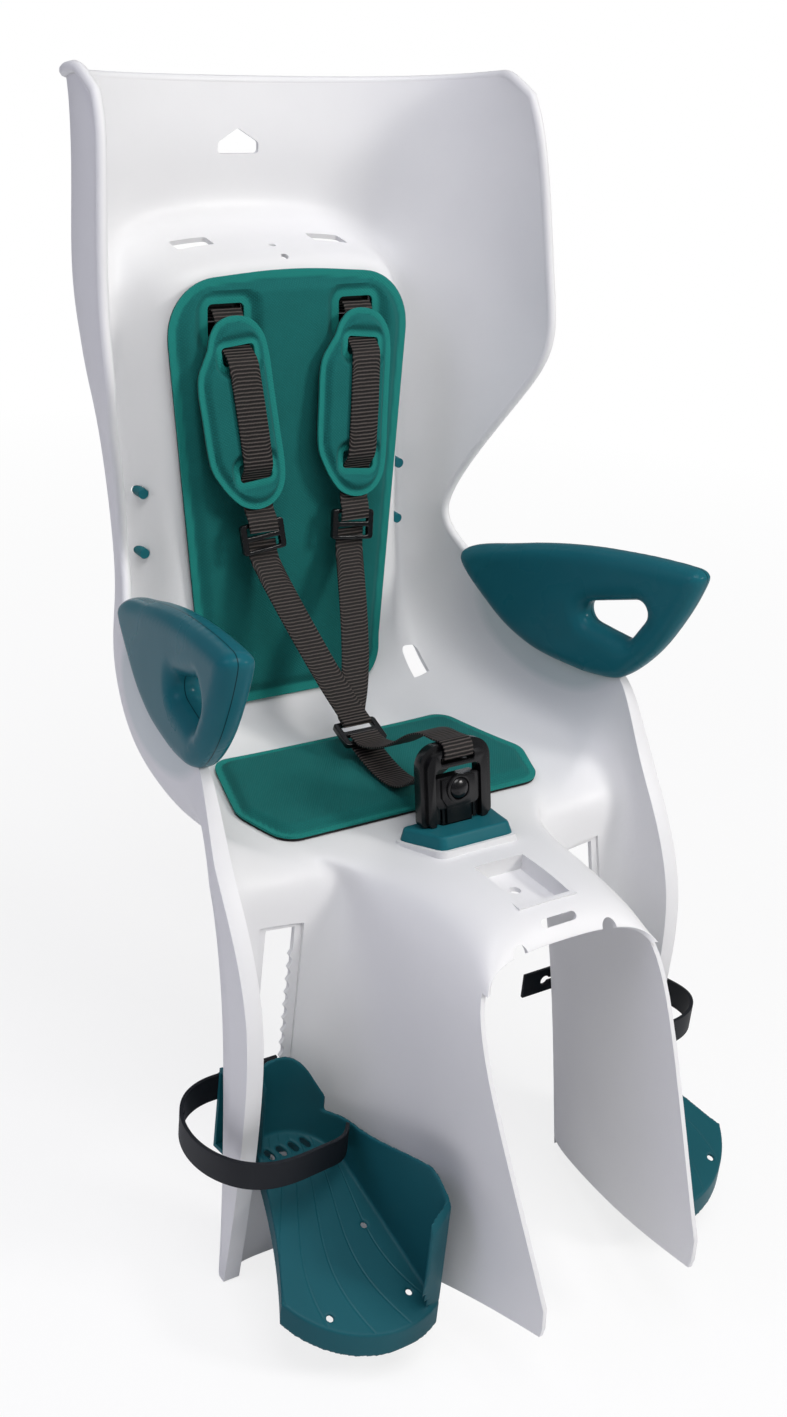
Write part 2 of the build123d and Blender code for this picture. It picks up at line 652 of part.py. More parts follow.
def make_buckle_post():
    """Post with the button's housing; its neck runs through the shell to a flange below it."""
    plane = buckle_plane()
    neck_low = -17.5
    neck = Pos(0, (neck_low + HOUSING_LOW + 1) / 2, 0) * Rectangle(NECK_WIDTH, HOUSING_LOW + 1 - neck_low)
    post = extrude(plane * neck, NECK_THICK / 2, both=True)
    width = WINDOW_WIDTH - 2 * GAP
    tall = WINDOW_TOP - GAP - HOUSING_LOW
    face = Pos(0, HOUSING_LOW + tall / 2, 0) * RectangleRounded(width, tall, 4)
    post = post + extrude(plane * face, HOUSING_FRONT) + extrude(plane * face, -BUCKLE_THICK / 2)
    bore = Pos(0, BUTTON_AT, 0) * Circle(BUTTON_R + GAP / 2)
    floor = HOUSING_FRONT - 11
    post = post - extrude(buckle_plane() * Pos(0, 0, floor) * bore, 30)
    flange = Plane(origin=on_buckle(neck_low, 0), x_dir=(1, 0, 0), z_dir=plane.y_dir)
    return post + extrude(flange * RectangleRounded(44, 20, 4), 3)


def make_button():
    """Domed release button in the housing."""
    plane = buckle_plane()
    inner = HOUSING_FRONT - 11 + BUTTON_TRAVEL + 1.2
    at = Pos(0, BUTTON_AT, inner)
    button = extrude(plane * at * Circle(BUTTON_R), HOUSING_FRONT + 1.6 - inner)
    return fillet(button.faces().sort_by(Axis.Y)[0].edges(), 1.4)


def make_button_spring():
    """Bowed leaf of spring steel between the housing's floor and the button."""
    floor = HOUSING_FRONT - 11 + (SPRING_THICK + GAP) / 2
    crown = floor + BUTTON_TRAVEL + 1.2 - SPRING_THICK - GAP
    half = BUTTON_R - 2.5
    bow = ThreePointArc((-half, floor), (0, crown), (half, floor))
    plane = Plane(origin=on_buckle(BUTTON_AT, 0), x_dir=(1, 0, 0), z_dir=-buckle_plane().y_dir)
    return band(bow, plane, SPRING_WIDTH, SPRING_THICK)


def make_buckle_base(blade):
    """Pillow round the foot of the buckle."""
    foot = Plane(origin=on_buckle(-8.4, 0), x_dir=(1, 0, 0), z_dir=buckle_plane().y_dir)
    outline = Polygon((-32, -30), (32, -30), (44, 16), (-44, 16), align=None)
    outline = fillet(outline.vertices(), 8)
    base = extrude(foot * outline, 10.1, taper=18)
    base = base - extrude(foot * Rectangle(NECK_WIDTH + 2 * GAP, NECK_THICK + 2 * GAP), 40, both=True)
    return largest(base - blade)


def make_buckle_loop():
    """Webbing from the slide, under and up through the buckle's slot, over its top bar and back."""
    clear = BUCKLE_THICK / 2 + GAP + WEB_THICK / 2
    top = 2 + BUCKLE_HEIGHT + GAP + WEB_THICK / 2
    low = -ADJUSTER_THICK / 2 - GAP - WEB_THICK / 2
    route = [
        junction(-4, low),
        junction(-20, low),
        (0, 150, 15.5),
        (0, 124, 22),
        on_buckle(WEB_SLOT_AT - 9, -clear - 9),
        on_buckle(WEB_SLOT_AT, -clear),
        on_buckle(WEB_SLOT_AT, clear),
        on_buckle(top, clear),
        on_buckle(top, -clear - 3),
        (0, 128, 62),
        junction(-28, 14),
        junction(-15, -low),
        junction(-4, -low),
    ]
    line = FilletPolyline(*[(point[1], point[2]) for point in map(tuple, route)], radius=1.4)
    return band(line, Plane.YZ, WEB_WIDTH, WEB_THICK)


def make_strap_anchor(side, blade):
    """Plate behind the panel that a shoulder strap is looped through."""
    at = Pos(side * STRAP_X, panel_rise(STRAP_SLOT_Z), 0)
    outline = RectangleRounded(STRAP_SLOT_WIDTH + 13, STRAP_SLOT_HEIGHT + 12, 4)
    outline = outline - Rectangle(WEB_WIDTH + 2 * GAP, WEB_THICK + 2 * GAP)
    plate = extrude(panel_plane(-WALL - GAP) * at * outline, -4)
    return largest(plate - blade)


PLUG_X = 118.0
PLUG_Z = (143.0, 190.0)
PLUG_R = 4.0
PLUG_LENGTH = 12.0
PLUG_PROUD = 3.0


def sheet_y(x, z):
    """Depth of the child's side of the sheet at its point nearest to x and z."""
    points = [point for row in sheet_rows() for point in row]
    return min(points, key=lambda p: math.hypot(p.X - x, p.Z - z)).Y


def make_side_plugs():
    """Four plugs in the wall beside the raised panel."""
    plugs = []
    for z in PLUG_Z:
        y = sheet_y(PLUG_X, z) - PLUG_PROUD + PLUG_LENGTH / 2
        for side in (-1, 1):
            plugs.append(Pos(side * PLUG_X, y, z) * Rot(90, 0, 0) * Cylinder(PLUG_R, PLUG_LENGTH))
    return Compound(plugs)


def arm_local(piece):
    """Turn an armrest piece drawn along Y about its nose to the side wall's direction."""
    return piece.rotate(Axis((ARM_X, ARM_Y, 0), (0, 0, 1)), ARM_TURN_DEG)


def arm_outline():
    """Side outline of an armrest, in the YZ plane."""
    rear = (ARM_Y + 240, 127)
    crest = (ARM_Y + 8, 190)
    nose = (ARM_Y - 1, 181)
    heel = (ARM_Y + 56, 84)
    return make_face([
        Spline(rear, (ARM_Y + 182, 153), (ARM_Y + 120, 172), (ARM_Y + 60, 184), crest),
        ThreePointArc(crest, (ARM_Y + 0.5, 188), nose),
        Spline(nose, (ARM_Y + 10, 150), (ARM_Y + 30, 113), heel),
        Spline(heel, (ARM_Y + 79, 76), (ARM_Y + 110, 73), (ARM_Y + 154, 75), (ARM_Y + 197, 91), rear),
    ])


def arm_hole():
    """Finger hole, a rounded triangle."""
    outline = Polygon((ARM_Y + 136, 119), (ARM_Y + 31, 158), (ARM_Y + 56, 114), align=None)
    return fillet(outline.vertices(), 9)


def arm_body():
    """Both halves of the child's left armrest as one."""
    body = extrude(Plane.YZ.offset(ARM_X - ARM_IN) * arm_outline(), ARM_IN + ARM_OUT)
    rims = body.faces().sort_by(Axis.X)
    body = fillet(rims[0].edges() + rims[-1].edges(), 7)
    body = body - extrude(Plane.YZ.offset(ARM_X - ARM_IN - 5) * arm_hole(), ARM_IN + ARM_OUT + 10)
    return body


ARM_SCREWS = ((ARM_Y + 188, 103.0), (ARM_Y + 92, 86.0))
ARM_SCREW_R = 2.2
ARM_SCREW_HEAD_R = 4.5
ARM_HEAD_DEPTH = 4.0


def arm_bore(y, z, radius, low, high):
    """Cylinder across an armrest between two distances from its middle plane."""
    return Pos(ARM_X + (low + high) / 2, y, z) * Rot(0, 90, 0) * Cylinder(radius, high - low)


def make_armrest(blade):
    """Inner and outer half of the child's left armrest, clamped over the shell's rim."""
    body = arm_body()
    span = ((0, 600), (-100, 400))
    for y, z in ARM_SCREWS:
        body = body - arm_bore(y, z, ARM_SCREW_R + GAP / 2, -8, 60)
        body = body - arm_bore(y, z, ARM_SCREW_HEAD_R + GAP, ARM_OUT - ARM_HEAD_DEPTH, 60)
    inner = body & box((ARM_X - 90, ARM_X + ARM_SEAM), *span)
    outer = body & box((ARM_X + ARM_SEAM + 0.05, ARM_X + 90), *span)
    return [largest(arm_local(half) - blade) for half in (inner, outer)]


def make_arm_screws():
    """Screws of the child's left armrest."""
    screws = []
    for y, z in ARM_SCREWS:
        shank = arm_bore(y, z, ARM_SCREW_R, -7.5, ARM_OUT - ARM_HEAD_DEPTH)
        head = arm_bore(y, z, ARM_SCREW_HEAD_R, ARM_OUT - ARM_HEAD_DEPTH, ARM_OUT - 1)
        screws.append(arm_local(shank + head))
    return screws


HEEL_Y = 60.0
TOE_Y = -90.0
INNER_X = 105.5
TOE_TURN = 9.0
HEEL_CORNER = 46.0
HEEL_TOP_Z = -131.0
SIDE_TOP_Z = -177.0
TOE_TOP_Z = -152.0
FRAME_REAR = SLOT_SINK + WALL + 0.5 + GAP
NECK = (-20.0, 25.0)
PLATE_THICK = 5.0
PLATE_HALF = 16.0
LUG_DEPTH = 38.0
LUG = (-42.0, 22.0)
STUD_X = 161.0
STUD_R = 4.0
PIN = (-9.0, 19.0)
PIN_R = 2.5
LEVER_THICK = 4.0
PAWL_AT = SLOT_LOW + 2 + RACK_PITCH * 3.85


def sole_z(y):
    """Top of a footrest's sole."""
    return SOLE_HEEL_Z + SOLE_FALL * (y - HEEL_Y)


def sole_slab(low, high):
    """Everything between two heights measured from the sole's top."""
    ends = (TOE_Y - 60, HEEL_Y + 60)
    points = [(ends[0], sole_z(ends[0]) + low), (ends[1], sole_z(ends[1]) + low)]
    points += [(ends[1], sole_z(ends[1]) + high), (ends[0], sole_z(ends[0]) + high)]
    return extrude(Plane.YZ * Polygon(*points, align=None), 300)


def sole_outline(inset):
    """Plan of the child's left sole, drawn in by inset: a narrow heel that widens to the toe."""
    heel = SLOT_X + SLOT_WIDTH / 2 + 2 - inset
    heel_y = HEEL_Y - inset
    corner = INNER_X + HEEL_CORNER
    inner = (INNER_X + inset, HEEL_Y - HEEL_CORNER)
    toe_inner = (INNER_X - TOE_TURN + inset, TOE_Y + inset)
    toe_outer = (RAIL_HALF + 8 - inset, TOE_Y + 38 + inset / 4)
    return make_face([
        Line((heel, heel_y), (corner, heel_y)),
        TangentArc((corner, heel_y), inner, tangent=(-1, 0)),
        Line(inner, toe_inner),
        Spline(toe_inner, (INNER_X + 24, TOE_Y - 7 + inset), (172 - inset / 3, TOE_Y + 5 + inset), toe_outer),
        Spline(toe_outer, (RAIL_HALF - 10 - inset, TOE_Y + 78), (heel + 6, HEEL_Y - 30), (heel, heel_y)),
    ])


def side_profile():
    """Side outline of the footrest's inner wall."""
    low = sole_z(TOE_Y) - SKIRT
    top = [(HEEL_Y + 5, SIDE_TOP_Z), (34, SIDE_TOP_Z), (4, SIDE_TOP_Z + 3), (-45, TOE_TOP_Z - 8)]
    top.append((TOE_Y + 12, TOE_TOP_Z))
    nose = [(TOE_Y + 12, TOE_TOP_Z), (TOE_Y - 5, TOE_TOP_Z - 7), (TOE_Y - 9, TOE_TOP_Z - 26)]
    return make_face([
        Spline(*top),
        ThreePointArc(*nose),
        Polyline(nose[-1], (TOE_Y + 2, low), (HEEL_Y + 5, low), (HEEL_Y + 5, SIDE_TOP_Z)),
    ])


def heel_profile():
    """Front outline of the footrest's heel wall."""
    right = SLOT_X + SLOT_WIDTH / 2 + 3
    low = sole_z(HEEL_Y) - SKIRT
    return make_face([
        Spline((INNER_X - 4, SIDE_TOP_Z - 1), (INNER_X + 10, SIDE_TOP_Z + 11), (right - 34, HEEL_TOP_Z - 6),
               (right - 16, HEEL_TOP_Z)),
        ThreePointArc((right - 16, HEEL_TOP_Z), (right - 5, HEEL_TOP_Z - 4), (right, HEEL_TOP_Z - 14)),
        Polyline((right, HEEL_TOP_Z - 14), (right, low), (INNER_X - 4, low), (INNER_X - 4, SIDE_TOP_Z - 1)),
    ])


def make_footrest():
    """Child's left footrest: sole with a skirt, tall inner and heel walls, and the neck in the slot."""
    height = 400.0
    column = extrude(Pos(0, 0, -height) * sole_outline(0), height)
    ring = column - extrude(Pos(0, 0, -height) * sole_outline(FOOT_WALL), height)
    band_x = HEEL_CORNER * 0.3 + FOOT_WALL + 2
    turn = -math.degrees(math.atan(TOE_TURN / (HEEL_Y - HEEL_CORNER - TOE_Y)))
    side = extrude(Plane.YZ.offset(INNER_X - 4) * side_profile(), band_x + 4)
    side = side.rotate(Axis((INNER_X, HEEL_Y - HEEL_CORNER, 0), (0, 0, 1)), turn)
    heel = Pos(0, HEEL_Y + 1, 0) * extrude(Plane.XZ * heel_profile(), band_x)
    walls = (ring & (side + heel)) - sole_slab(-height, -SKIRT)
    rest = (column & sole_slab(-FOOT_WALL, 0)) + (ring & sole_slab(-SKIRT, 0)) + walls
    slot_in = RACK_DEPTH + 6 - SLOT_WIDTH / 2
    neck = slide_plane() * box((slot_in, SLOT_WIDTH / 2 - GAP), (-20, FRAME_REAR), NECK)
    rest = rest + (neck & box((0, 300), (HEEL_Y - FOOT_WALL + 1, 300), (-400, 0)))
    for i in range(4):
        x = INNER_X + 24 + 10 * i
        vent = extrude(SlotOverall(9, 4.5, rotation=60), 40, both=True)
        rest = rest - Pos(x, HEEL_Y - 16, sole_z(HEEL_Y)) * vent
    for x, y in ((176, TOE_Y + 18), (INNER_X + 8, TOE_Y + 14), (INNER_X + 14, TOE_Y + 66)):
        rest = rest - Pos(x, y, sole_z(y)) * Cylinder(2.4, 14)
    return largest(rest)


def make_bracket():
    """Slider behind the leg's back wall that holds the footrest, with a hollow lug and the strap's stud."""
    rear = FRAME_REAR + PLATE_THICK
    plate = box((-PLATE_HALF - 4, PLATE_HALF), (FRAME_REAR, rear), (NECK[0] - 13, NECK[1] + 4))
    edge = -SLOT_WIDTH / 2
    plate = plate - box((edge - 3, edge + 9), (0, rear + 1), (PAWL_AT - 7, PAWL_AT + 7))
    plate = plate - Pos(PIN[0], rear, PIN[1]) * Rot(90, 0, 0) * Cylinder(PIN_R, 40)
    lug = box((0, PLATE_HALF + 2), (rear - 1, LUG_DEPTH), LUG)
    hollow = (LUG[0] + FOOT_WALL, LUG[1] - FOOT_WALL)
    lug = lug - box((FOOT_WALL, PLATE_HALF + 3), (rear, LUG_DEPTH - FOOT_WALL), hollow)
    body = slide_plane() * (plate + lug)
    strap_y = stud_y() + FOOT_STRAP_THICK / 2 + GAP
    shank = Pos(STUD_X, strap_y, STRAP_Z) * Rot(90, 0, 0) * Cylinder(STUD_R, 14)
    head = Pos(STUD_X, strap_y + 8, STRAP_Z) * Rot(90, 0, 0) * Cylinder(STUD_R + 3, 2)
    return body + shank + Pos(0, -6 + FOOT_STRAP_THICK / 2 + 0.6, 0) * head


def stud_y():
    """Middle of the foot strap's layer behind the lug."""
    return LEG_BACK_Y + LUG_DEPTH + 4


def make_latch():
    """Lever behind the slider with the pawl that reaches into the slot's rack."""
    front = FRAME_REAR + PLATE_THICK + GAP
    px, pz = PIN
    arm = Plane.XZ * Polygon(
        (px - 6, pz + 5), (px + 5, pz + 5), (px + 6, pz - 6), (px + 4, -30),
        (px, -52), (px - 9, -52), (px - 7, -30),
        align=None,
    )
    lever = Pos(0, front, 0) * extrude(arm, LEVER_THICK, dir=(0, 1, 0))
    crest = RACK_DEPTH + GAP - SLOT_WIDTH / 2
    point = [(crest, PAWL_AT), (crest + 4.4, PAWL_AT + 2.2), (crest + 4.4, PAWL_AT - 2.2)]
    tooth = Plane.XZ * Polygon(*point, align=None)
    reach = front + LEVER_THICK - SLOT_SINK - 0.5
    pawl = Pos(0, front + LEVER_THICK, 0) * extrude(tooth, reach, dir=(0, -1, 0))
    bore = Pos(px, front, pz) * Rot(90, 0, 0) * Cylinder(PIN_R + 0.05, 40)
    return slide_plane() * (lever + pawl - bore)


def make_latch_pin():
    """Pin that the latch turns on."""
    low = FRAME_REAR
    high = low + PLATE_THICK + LEVER_THICK + 2 * GAP
    shank = Pos(PIN[0], (low + high) / 2, PIN[1]) * Rot(90, 0, 0) * Cylinder(PIN_R, high - low)
    head = Pos(PIN[0], high + 1, PIN[1]) * Rot(90, 0, 0) * Cylinder(PIN_R + 1.5, 2)
    return slide_plane() * (shank + head)


def make_foot_strap():
    """Child's left foot strap: from the inner wall, over the instep, round the rail to the stud."""
    layer = stud_y()
    outer = RAIL_HALF + 23
    turn = (STUD_X + 14, layer)
    line = Spline(
        (INNER_X + 6, 18), (130, 2), (164, -8), (outer - 13, 4), (outer, 45), (outer - 8, layer - 18), turn,
        tangents=[(1, -0.6), (-1, 0)],
    )
    line = line + Line(turn, (118, layer))
    strap = band(line, Plane.XY.offset(STRAP_Z), FOOT_STRAP_WIDTH, FOOT_STRAP_THICK)
    return strap - Pos(STUD_X, layer, STRAP_Z) * Rot(90, 0, 0) * Cylinder(STUD_R + GAP, 20)


def save(name, shape):
    """Write one node."""
    export_step(shape, os.path.join("parts", name + ".step"))


def main():
    """Build every piece and write it."""
    os.makedirs("parts", exist_ok=True)
    blade = sheet_solid(GAP)
    shell = make_shell()
    plugs = make_side_plugs()
    for plug in plugs.solids():
        shell = shell - offset_plug(plug)
    inner, outer = make_armrest(blade)
    screws = make_arm_screws()
    for screw in screws:
        for cut in both(screw_bore(screw)):
            shell = shell - cut
    save("shell", shell)
    save("side_plugs", plugs)
    save("armrest_screws", Compound([s for screw in screws for s in both(screw)]))
    left_right = ("left", "right")
    for name, piece in (("armrest_inner", inner), ("armrest_outer", outer)):
        for side, half in zip(left_right, both(piece)):
            save(name + "_" + side, half)
    save("back_pad", make_back_pad(blade))
    save("seat_pad", make_seat_pad(blade))
    for side, sign in zip(left_right, (1, -1)):
        save("shoulder_pad_" + side, make_shoulder_pad(sign))
        save("shoulder_strap_" + side, make_shoulder_strap(sign))
        save("strap_adjuster_" + side, make_adjuster(sign))
        save("lower_strap_" + side, make_lower_strap(sign))
        save("strap_anchor_" + side, make_strap_anchor(sign, blade))
    save("centre_slide", make_slide())
    save("buckle_loop", make_buckle_loop())
    save("buckle_frame", make_buckle_frame())
    save("buckle_post", make_buckle_post())
    save("buckle_button", make_button())
    save("button_spring", make_button_spring())
    save("buckle_base", make_buckle_base(blade))
    foot_pieces = {
        "footrest": make_footrest(),
        "footrest_bracket": make_bracket(),
        "footrest_latch": make_latch(),
        "latch_pin": make_latch_pin(),
        "foot_strap": make_foot_strap(),
    }
    for name, piece in foot_pieces.items():
        for side, half in zip(left_right, both(piece)):
            save(name + "_" + side, half)


def offset_plug(plug):
    """Room for a side plug."""
    centre = plug.center()
    return Pos(*centre) * Rot(90, 0, 0) * Cylinder(PLUG_R + GAP, 60)


def screw_bore(screw):
    """Room for an armrest screw's shank."""
    centre = screw.center()
    bore = Pos(*centre) * Rot(0, 90, 0) * Cylinder(ARM_SCREW_R + GAP, 60)
    return bore.rotate(Axis(centre, (0, 0, 1)), ARM_TURN_DEG)


main()
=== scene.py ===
"""Looks of a child bike seat: moulded shell, pressed pads, harness, armrests and footrests."""
import logging
import math
from collections.abc import Callable
from dataclasses import dataclass, field
from enum import Enum

import bmesh
import bpy
import numpy as np
from mathutils import Matrix, Vector
from mathutils.bvhtree import BVHTree


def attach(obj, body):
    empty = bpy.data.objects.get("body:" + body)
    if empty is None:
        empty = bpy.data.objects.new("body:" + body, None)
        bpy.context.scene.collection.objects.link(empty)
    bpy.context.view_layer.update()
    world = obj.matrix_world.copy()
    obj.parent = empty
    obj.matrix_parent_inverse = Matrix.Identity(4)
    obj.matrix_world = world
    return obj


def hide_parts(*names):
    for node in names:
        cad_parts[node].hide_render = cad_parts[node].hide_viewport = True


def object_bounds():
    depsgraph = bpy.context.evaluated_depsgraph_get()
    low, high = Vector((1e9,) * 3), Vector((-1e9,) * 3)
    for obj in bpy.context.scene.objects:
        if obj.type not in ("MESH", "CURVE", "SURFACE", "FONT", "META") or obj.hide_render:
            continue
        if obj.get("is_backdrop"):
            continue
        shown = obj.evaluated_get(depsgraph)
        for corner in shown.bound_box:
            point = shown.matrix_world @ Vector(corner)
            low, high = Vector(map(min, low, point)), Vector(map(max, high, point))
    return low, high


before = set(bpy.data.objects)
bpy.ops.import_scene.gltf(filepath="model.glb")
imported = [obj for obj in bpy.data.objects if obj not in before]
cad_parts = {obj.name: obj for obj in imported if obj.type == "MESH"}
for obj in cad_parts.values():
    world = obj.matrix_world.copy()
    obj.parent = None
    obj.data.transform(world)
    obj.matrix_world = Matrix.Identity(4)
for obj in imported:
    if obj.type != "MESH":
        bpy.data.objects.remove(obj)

CAD_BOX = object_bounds()
MM = 0.001
Point = tuple[float, float, float]
Flat = tuple[float, float]
Object = bpy.types.Object
Node, NodeTree, Socket = bpy.types.Node, bpy.types.NodeTree, bpy.types.NodeSocket
log = logging.getLogger("bike_seat")

CORNERS = ((-1, -1), (1, -1), (1, 1), (-1, 1))
# Places that more than one piece needs, in millimetres: strap slots in the panel and the buckle's foot.
STRAP_X, STRAP_Z = 57.5, 321
BUCKLE_FOOT = (0.0, 76.0, 17.0)
BUCKLE_LEAN = math.radians(13)
# A wave texture of scale 1 has its bands this far apart, in metres.
WAVE_PITCH = 0.31416


class Side(Enum):
    """Sides of the seat, as the sitting child sees them."""

    LEFT = 1
    RIGHT = -1

    @property
    def label(self) -> str:
        """Name of the side as the CAD nodes have it."""
        return self.name.lower()

    @property
    def flip(self) -> Matrix:
        """Matrix that takes a piece of the left side to this one."""
        return Matrix.Scale(self.value, 4, (1, 0, 0))


# Meshes


def deselect() -> None:
    """Go to object mode and select nothing."""
    if bpy.context.mode != "OBJECT":
        bpy.ops.object.mode_set(mode="OBJECT")
    bpy.ops.object.select_all(action="DESELECT")


def activate(obj: Object) -> None:
    """Select one object alone and make it the active one."""
    deselect()
    obj.select_set(True)
    bpy.context.view_layer.objects.active = obj


def modify(obj: Object, kind: str, **settings: object) -> None:
    """Add a modifier and apply it.

    Args:
        obj: Object to change.
        kind: Modifier type, such as SOLIDIFY.
        settings: Modifier properties.
    """
    activate(obj)
    modifier = obj.modifiers.new(kind.title(), kind)
    for key, value in settings.items():
        setattr(modifier, key, value)
    bpy.ops.object.modifier_apply(modifier=modifier.name)


def refine(obj: Object) -> None:
    """Subdivide a sheet onto its limit surface, with its corners kept."""
    modify(obj, "SUBSURF", levels=3, render_levels=3, use_limit_surface=True, boundary_smooth="PRESERVE_CORNERS")


def round_edges(obj: Object, width: float, segments: int, angle: float) -> None:
    """Bevel edges sharper than an angle in degrees by a width in millimetres."""
    modify(obj, "BEVEL", width=width * MM, segments=segments, limit_method="ANGLE",
           angle_limit=math.radians(angle))


def edit_all(obj: Object, operator: Callable, **settings: object) -> None:
    """Run an edit-mode operator on the whole of a mesh."""
    activate(obj)
    bpy.ops.object.mode_set(mode="EDIT")
    bpy.ops.mesh.select_all(action="SELECT")
    operator(**settings)
    bpy.ops.object.mode_set(mode="OBJECT")


def face_out(obj: Object) -> None:
    """Turn the faces of a closed mesh outwards."""
    edit_all(obj, bpy.ops.mesh.normals_make_consistent, inside=False)


def smooth(obj: Object, angle: float = 35.0) -> None:
    """Shade a mesh smooth, with edges sharper than an angle in degrees kept."""
    activate(obj)
    bpy.ops.object.shade_smooth_by_angle(angle=math.radians(angle))


def plane(origin: Point, across: Point, normal: Point) -> Matrix:
    """Frame in millimetres whose X runs across and whose Z is the normal.

    Args:
        origin: Origin of the frame.
        across: Direction of its X axis.
        normal: Direction of its Z axis.

    Returns:
        Matrix from the frame's millimetres to the seat's millimetres.
    """
    z = Vector(normal).normalized()
    x = Vector(across).normalized()
    y = z.cross(x).normalized()
    x = y.cross(z)
    turn = Matrix((x, y, z)).transposed().to_4x4()
    return Matrix.Translation(Vector(origin)) @ turn


def front_on(origin: Point) -> Matrix:
    """Frame that faces the front, with its X to the child's left."""
    return plane(origin, (1, 0, 0), (0, -1, 0))


def prism(name: str, outline: list[Flat], place: Matrix, low: float, high: float) -> Object:
    """Extrude an outline drawn in a frame.

    Args:
        name: Object name.
        outline: Corners in the frame's X and Y, in millimetres.
        place: Frame of the outline.
        low: Height of the first end along the frame's Z.
        high: Height of the other end.

    Returns:
        Closed mesh object.
    """
    deselect()
    bpy.ops.mesh.primitive_circle_add(vertices=len(outline), radius=1.0, fill_type="NGON")
    obj = bpy.context.object
    obj.name = name
    for vertex, (u, v) in zip(obj.data.vertices, outline):
        vertex.co = place @ Vector((u, v, low)) * MM
    rise = (place.to_3x3() @ Vector((0, 0, high - low))) * MM
    edit_all(obj, bpy.ops.mesh.extrude_region_move, TRANSFORM_OT_translate={"value": rise})
    face_out(obj)
    return obj


def slab(name: str, x: Flat, y: Flat, z: Flat, place: Matrix = Matrix.Identity(4)) -> Object:
    """Block between low and high pairs of millimetres in a frame."""
    corners = [(x[0], y[0]), (x[1], y[0]), (x[1], y[1]), (x[0], y[1])]
    return prism(name, corners, place, z[0], z[1])


def rod(name: str, radius: float, length: float, place: Matrix) -> Object:
    """Round bar along a frame's Z, centred on its origin."""
    sides = 40
    turns = [2 * math.pi * i / sides for i in range(sides)]
    outline = [(radius * math.cos(a), radius * math.sin(a)) for a in turns]
    return prism(name, outline, place, -length / 2, length / 2)


def carve(obj: Object, tools: list[Object], operation: str) -> None:
    """Cut tools from a mesh, add them to it or keep what is inside them, and delete the tools.

    Args:
        obj: Mesh that stays.
        tools: Closed meshes.
        operation: DIFFERENCE, UNION or INTERSECT.
    """
    for tool in tools:
        modify(obj, "BOOLEAN", operation=operation, object=tool, solver="MANIFOLD")
        bpy.data.objects.remove(tool)


def rounded(corners: list[tuple[float, float, float]], steps: int = 10) -> list[Flat]:
    """Round the corners of an outline.

    Args:
        corners: Corner X, Y and radius, in order round the outline.
        steps: Points along each corner.

    Returns:
        Outline points.
    """
    points = []
    for i, (x, y, radius) in enumerate(corners):
        here = Vector((x, y))
        before = (Vector(corners[i - 1][:2]) - here).normalized()
        after = (Vector(corners[(i + 1) % len(corners)][:2]) - here).normalized()
        half = before.angle(after) / 2
        back = radius / math.tan(half)
        centre = here + (before + after).normalized() * (radius / math.sin(half))
        first = here + before * back - centre
        last = here + after * back - centre
        turn = first.angle_signed(last)
        for k in range(steps + 1):
            arm = first.copy()
            arm.rotate(Matrix.Rotation(-turn * k / steps, 2))
            points.append(tuple(centre + arm))
    return points


def opening(half: Flat, radius: float, steps: int, centre: Flat = (0, 0)) -> list[Flat]:
    """Outline of a rounded rectangle with half sizes round a centre."""
    return rounded([(centre[0] + u * half[0], centre[1] + v * half[1], radius) for u, v in CORNERS], steps)


def smooth_ring(knots: list[Flat], steps: int) -> list[Flat]:
    """Closed smooth line through knots, with steps points on each stretch."""
    points = []
    count = len(knots)
    for i in range(count):
        p0, p1, p2, p3 = (Vector(knots[(i + k) % count]) for k in (-1, 0, 1, 2))
        for k in range(steps):
            t = k / steps
            point = 0.5 * (2 * p1 + (p2 - p0) * t + (2 * p0 - 5 * p1 + 4 * p2 - p3) * t * t
                           + (3 * p1 - p0 - 3 * p2 + p3) * t ** 3)
            points.append(tuple(point))
    return points


def mix(a: float | Vector, b: float | Vector, t: float) -> float | Vector:
    """Value or point a share t of the way from a to b."""
    return a + (b - a) * t


def distance_in(points: np.ndarray, outline: list[Flat]) -> np.ndarray:
    """Distance of points from an outline, positive inside it.

    Args:
        points: Array of X and Y.
        outline: Closed outline.

    Returns:
        Signed distances.
    """
    ring = np.array(outline)
    best = np.full(len(points), 1e9)
    inside = np.zeros(len(points), dtype=bool)
    for a, b in zip(ring, np.roll(ring, -1, axis=0)):
        edge = b - a
        share = np.clip(((points - a) @ edge) / max(edge @ edge, 1e-12), 0, 1)
        best = np.minimum(best, np.linalg.norm(points - a - share[:, None] * edge, axis=1))
        crosses = (a[1] > points[:, 1]) != (b[1] > points[:, 1])
        reach = a[0] + (points[:, 1] - a[1]) * edge[0] / (edge[1] if edge[1] else 1e-12)
        inside ^= crosses & (points[:, 0] < reach)
    return np.where(inside, best, -best)


def ease(values: np.ndarray) -> np.ndarray:
    """Soft step from 0 to 1 over values from 0 to 1."""
    t = np.clip(values, 0, 1)
    return t * t * (3 - 2 * t)


def grid(name: str, columns: int, rows: int) -> tuple[Object, np.ndarray]:
    """Add a flat grid to be shaped.

    Args:
        name: Object name.
        columns: Points across.
        rows: Points along.

    Returns:
        The object, and the column and row of each of its vertices.
    """
    deselect()
    bpy.ops.mesh.primitive_grid_add(x_subdivisions=columns - 1, y_subdivisions=rows - 1, size=2)
    obj = bpy.context.object
    obj.name = name
    flat = points_of(obj)[:, :2] * MM
    spots = np.rint((flat + 1) / 2 * [columns - 1, rows - 1]).astype(int)
    return obj, spots


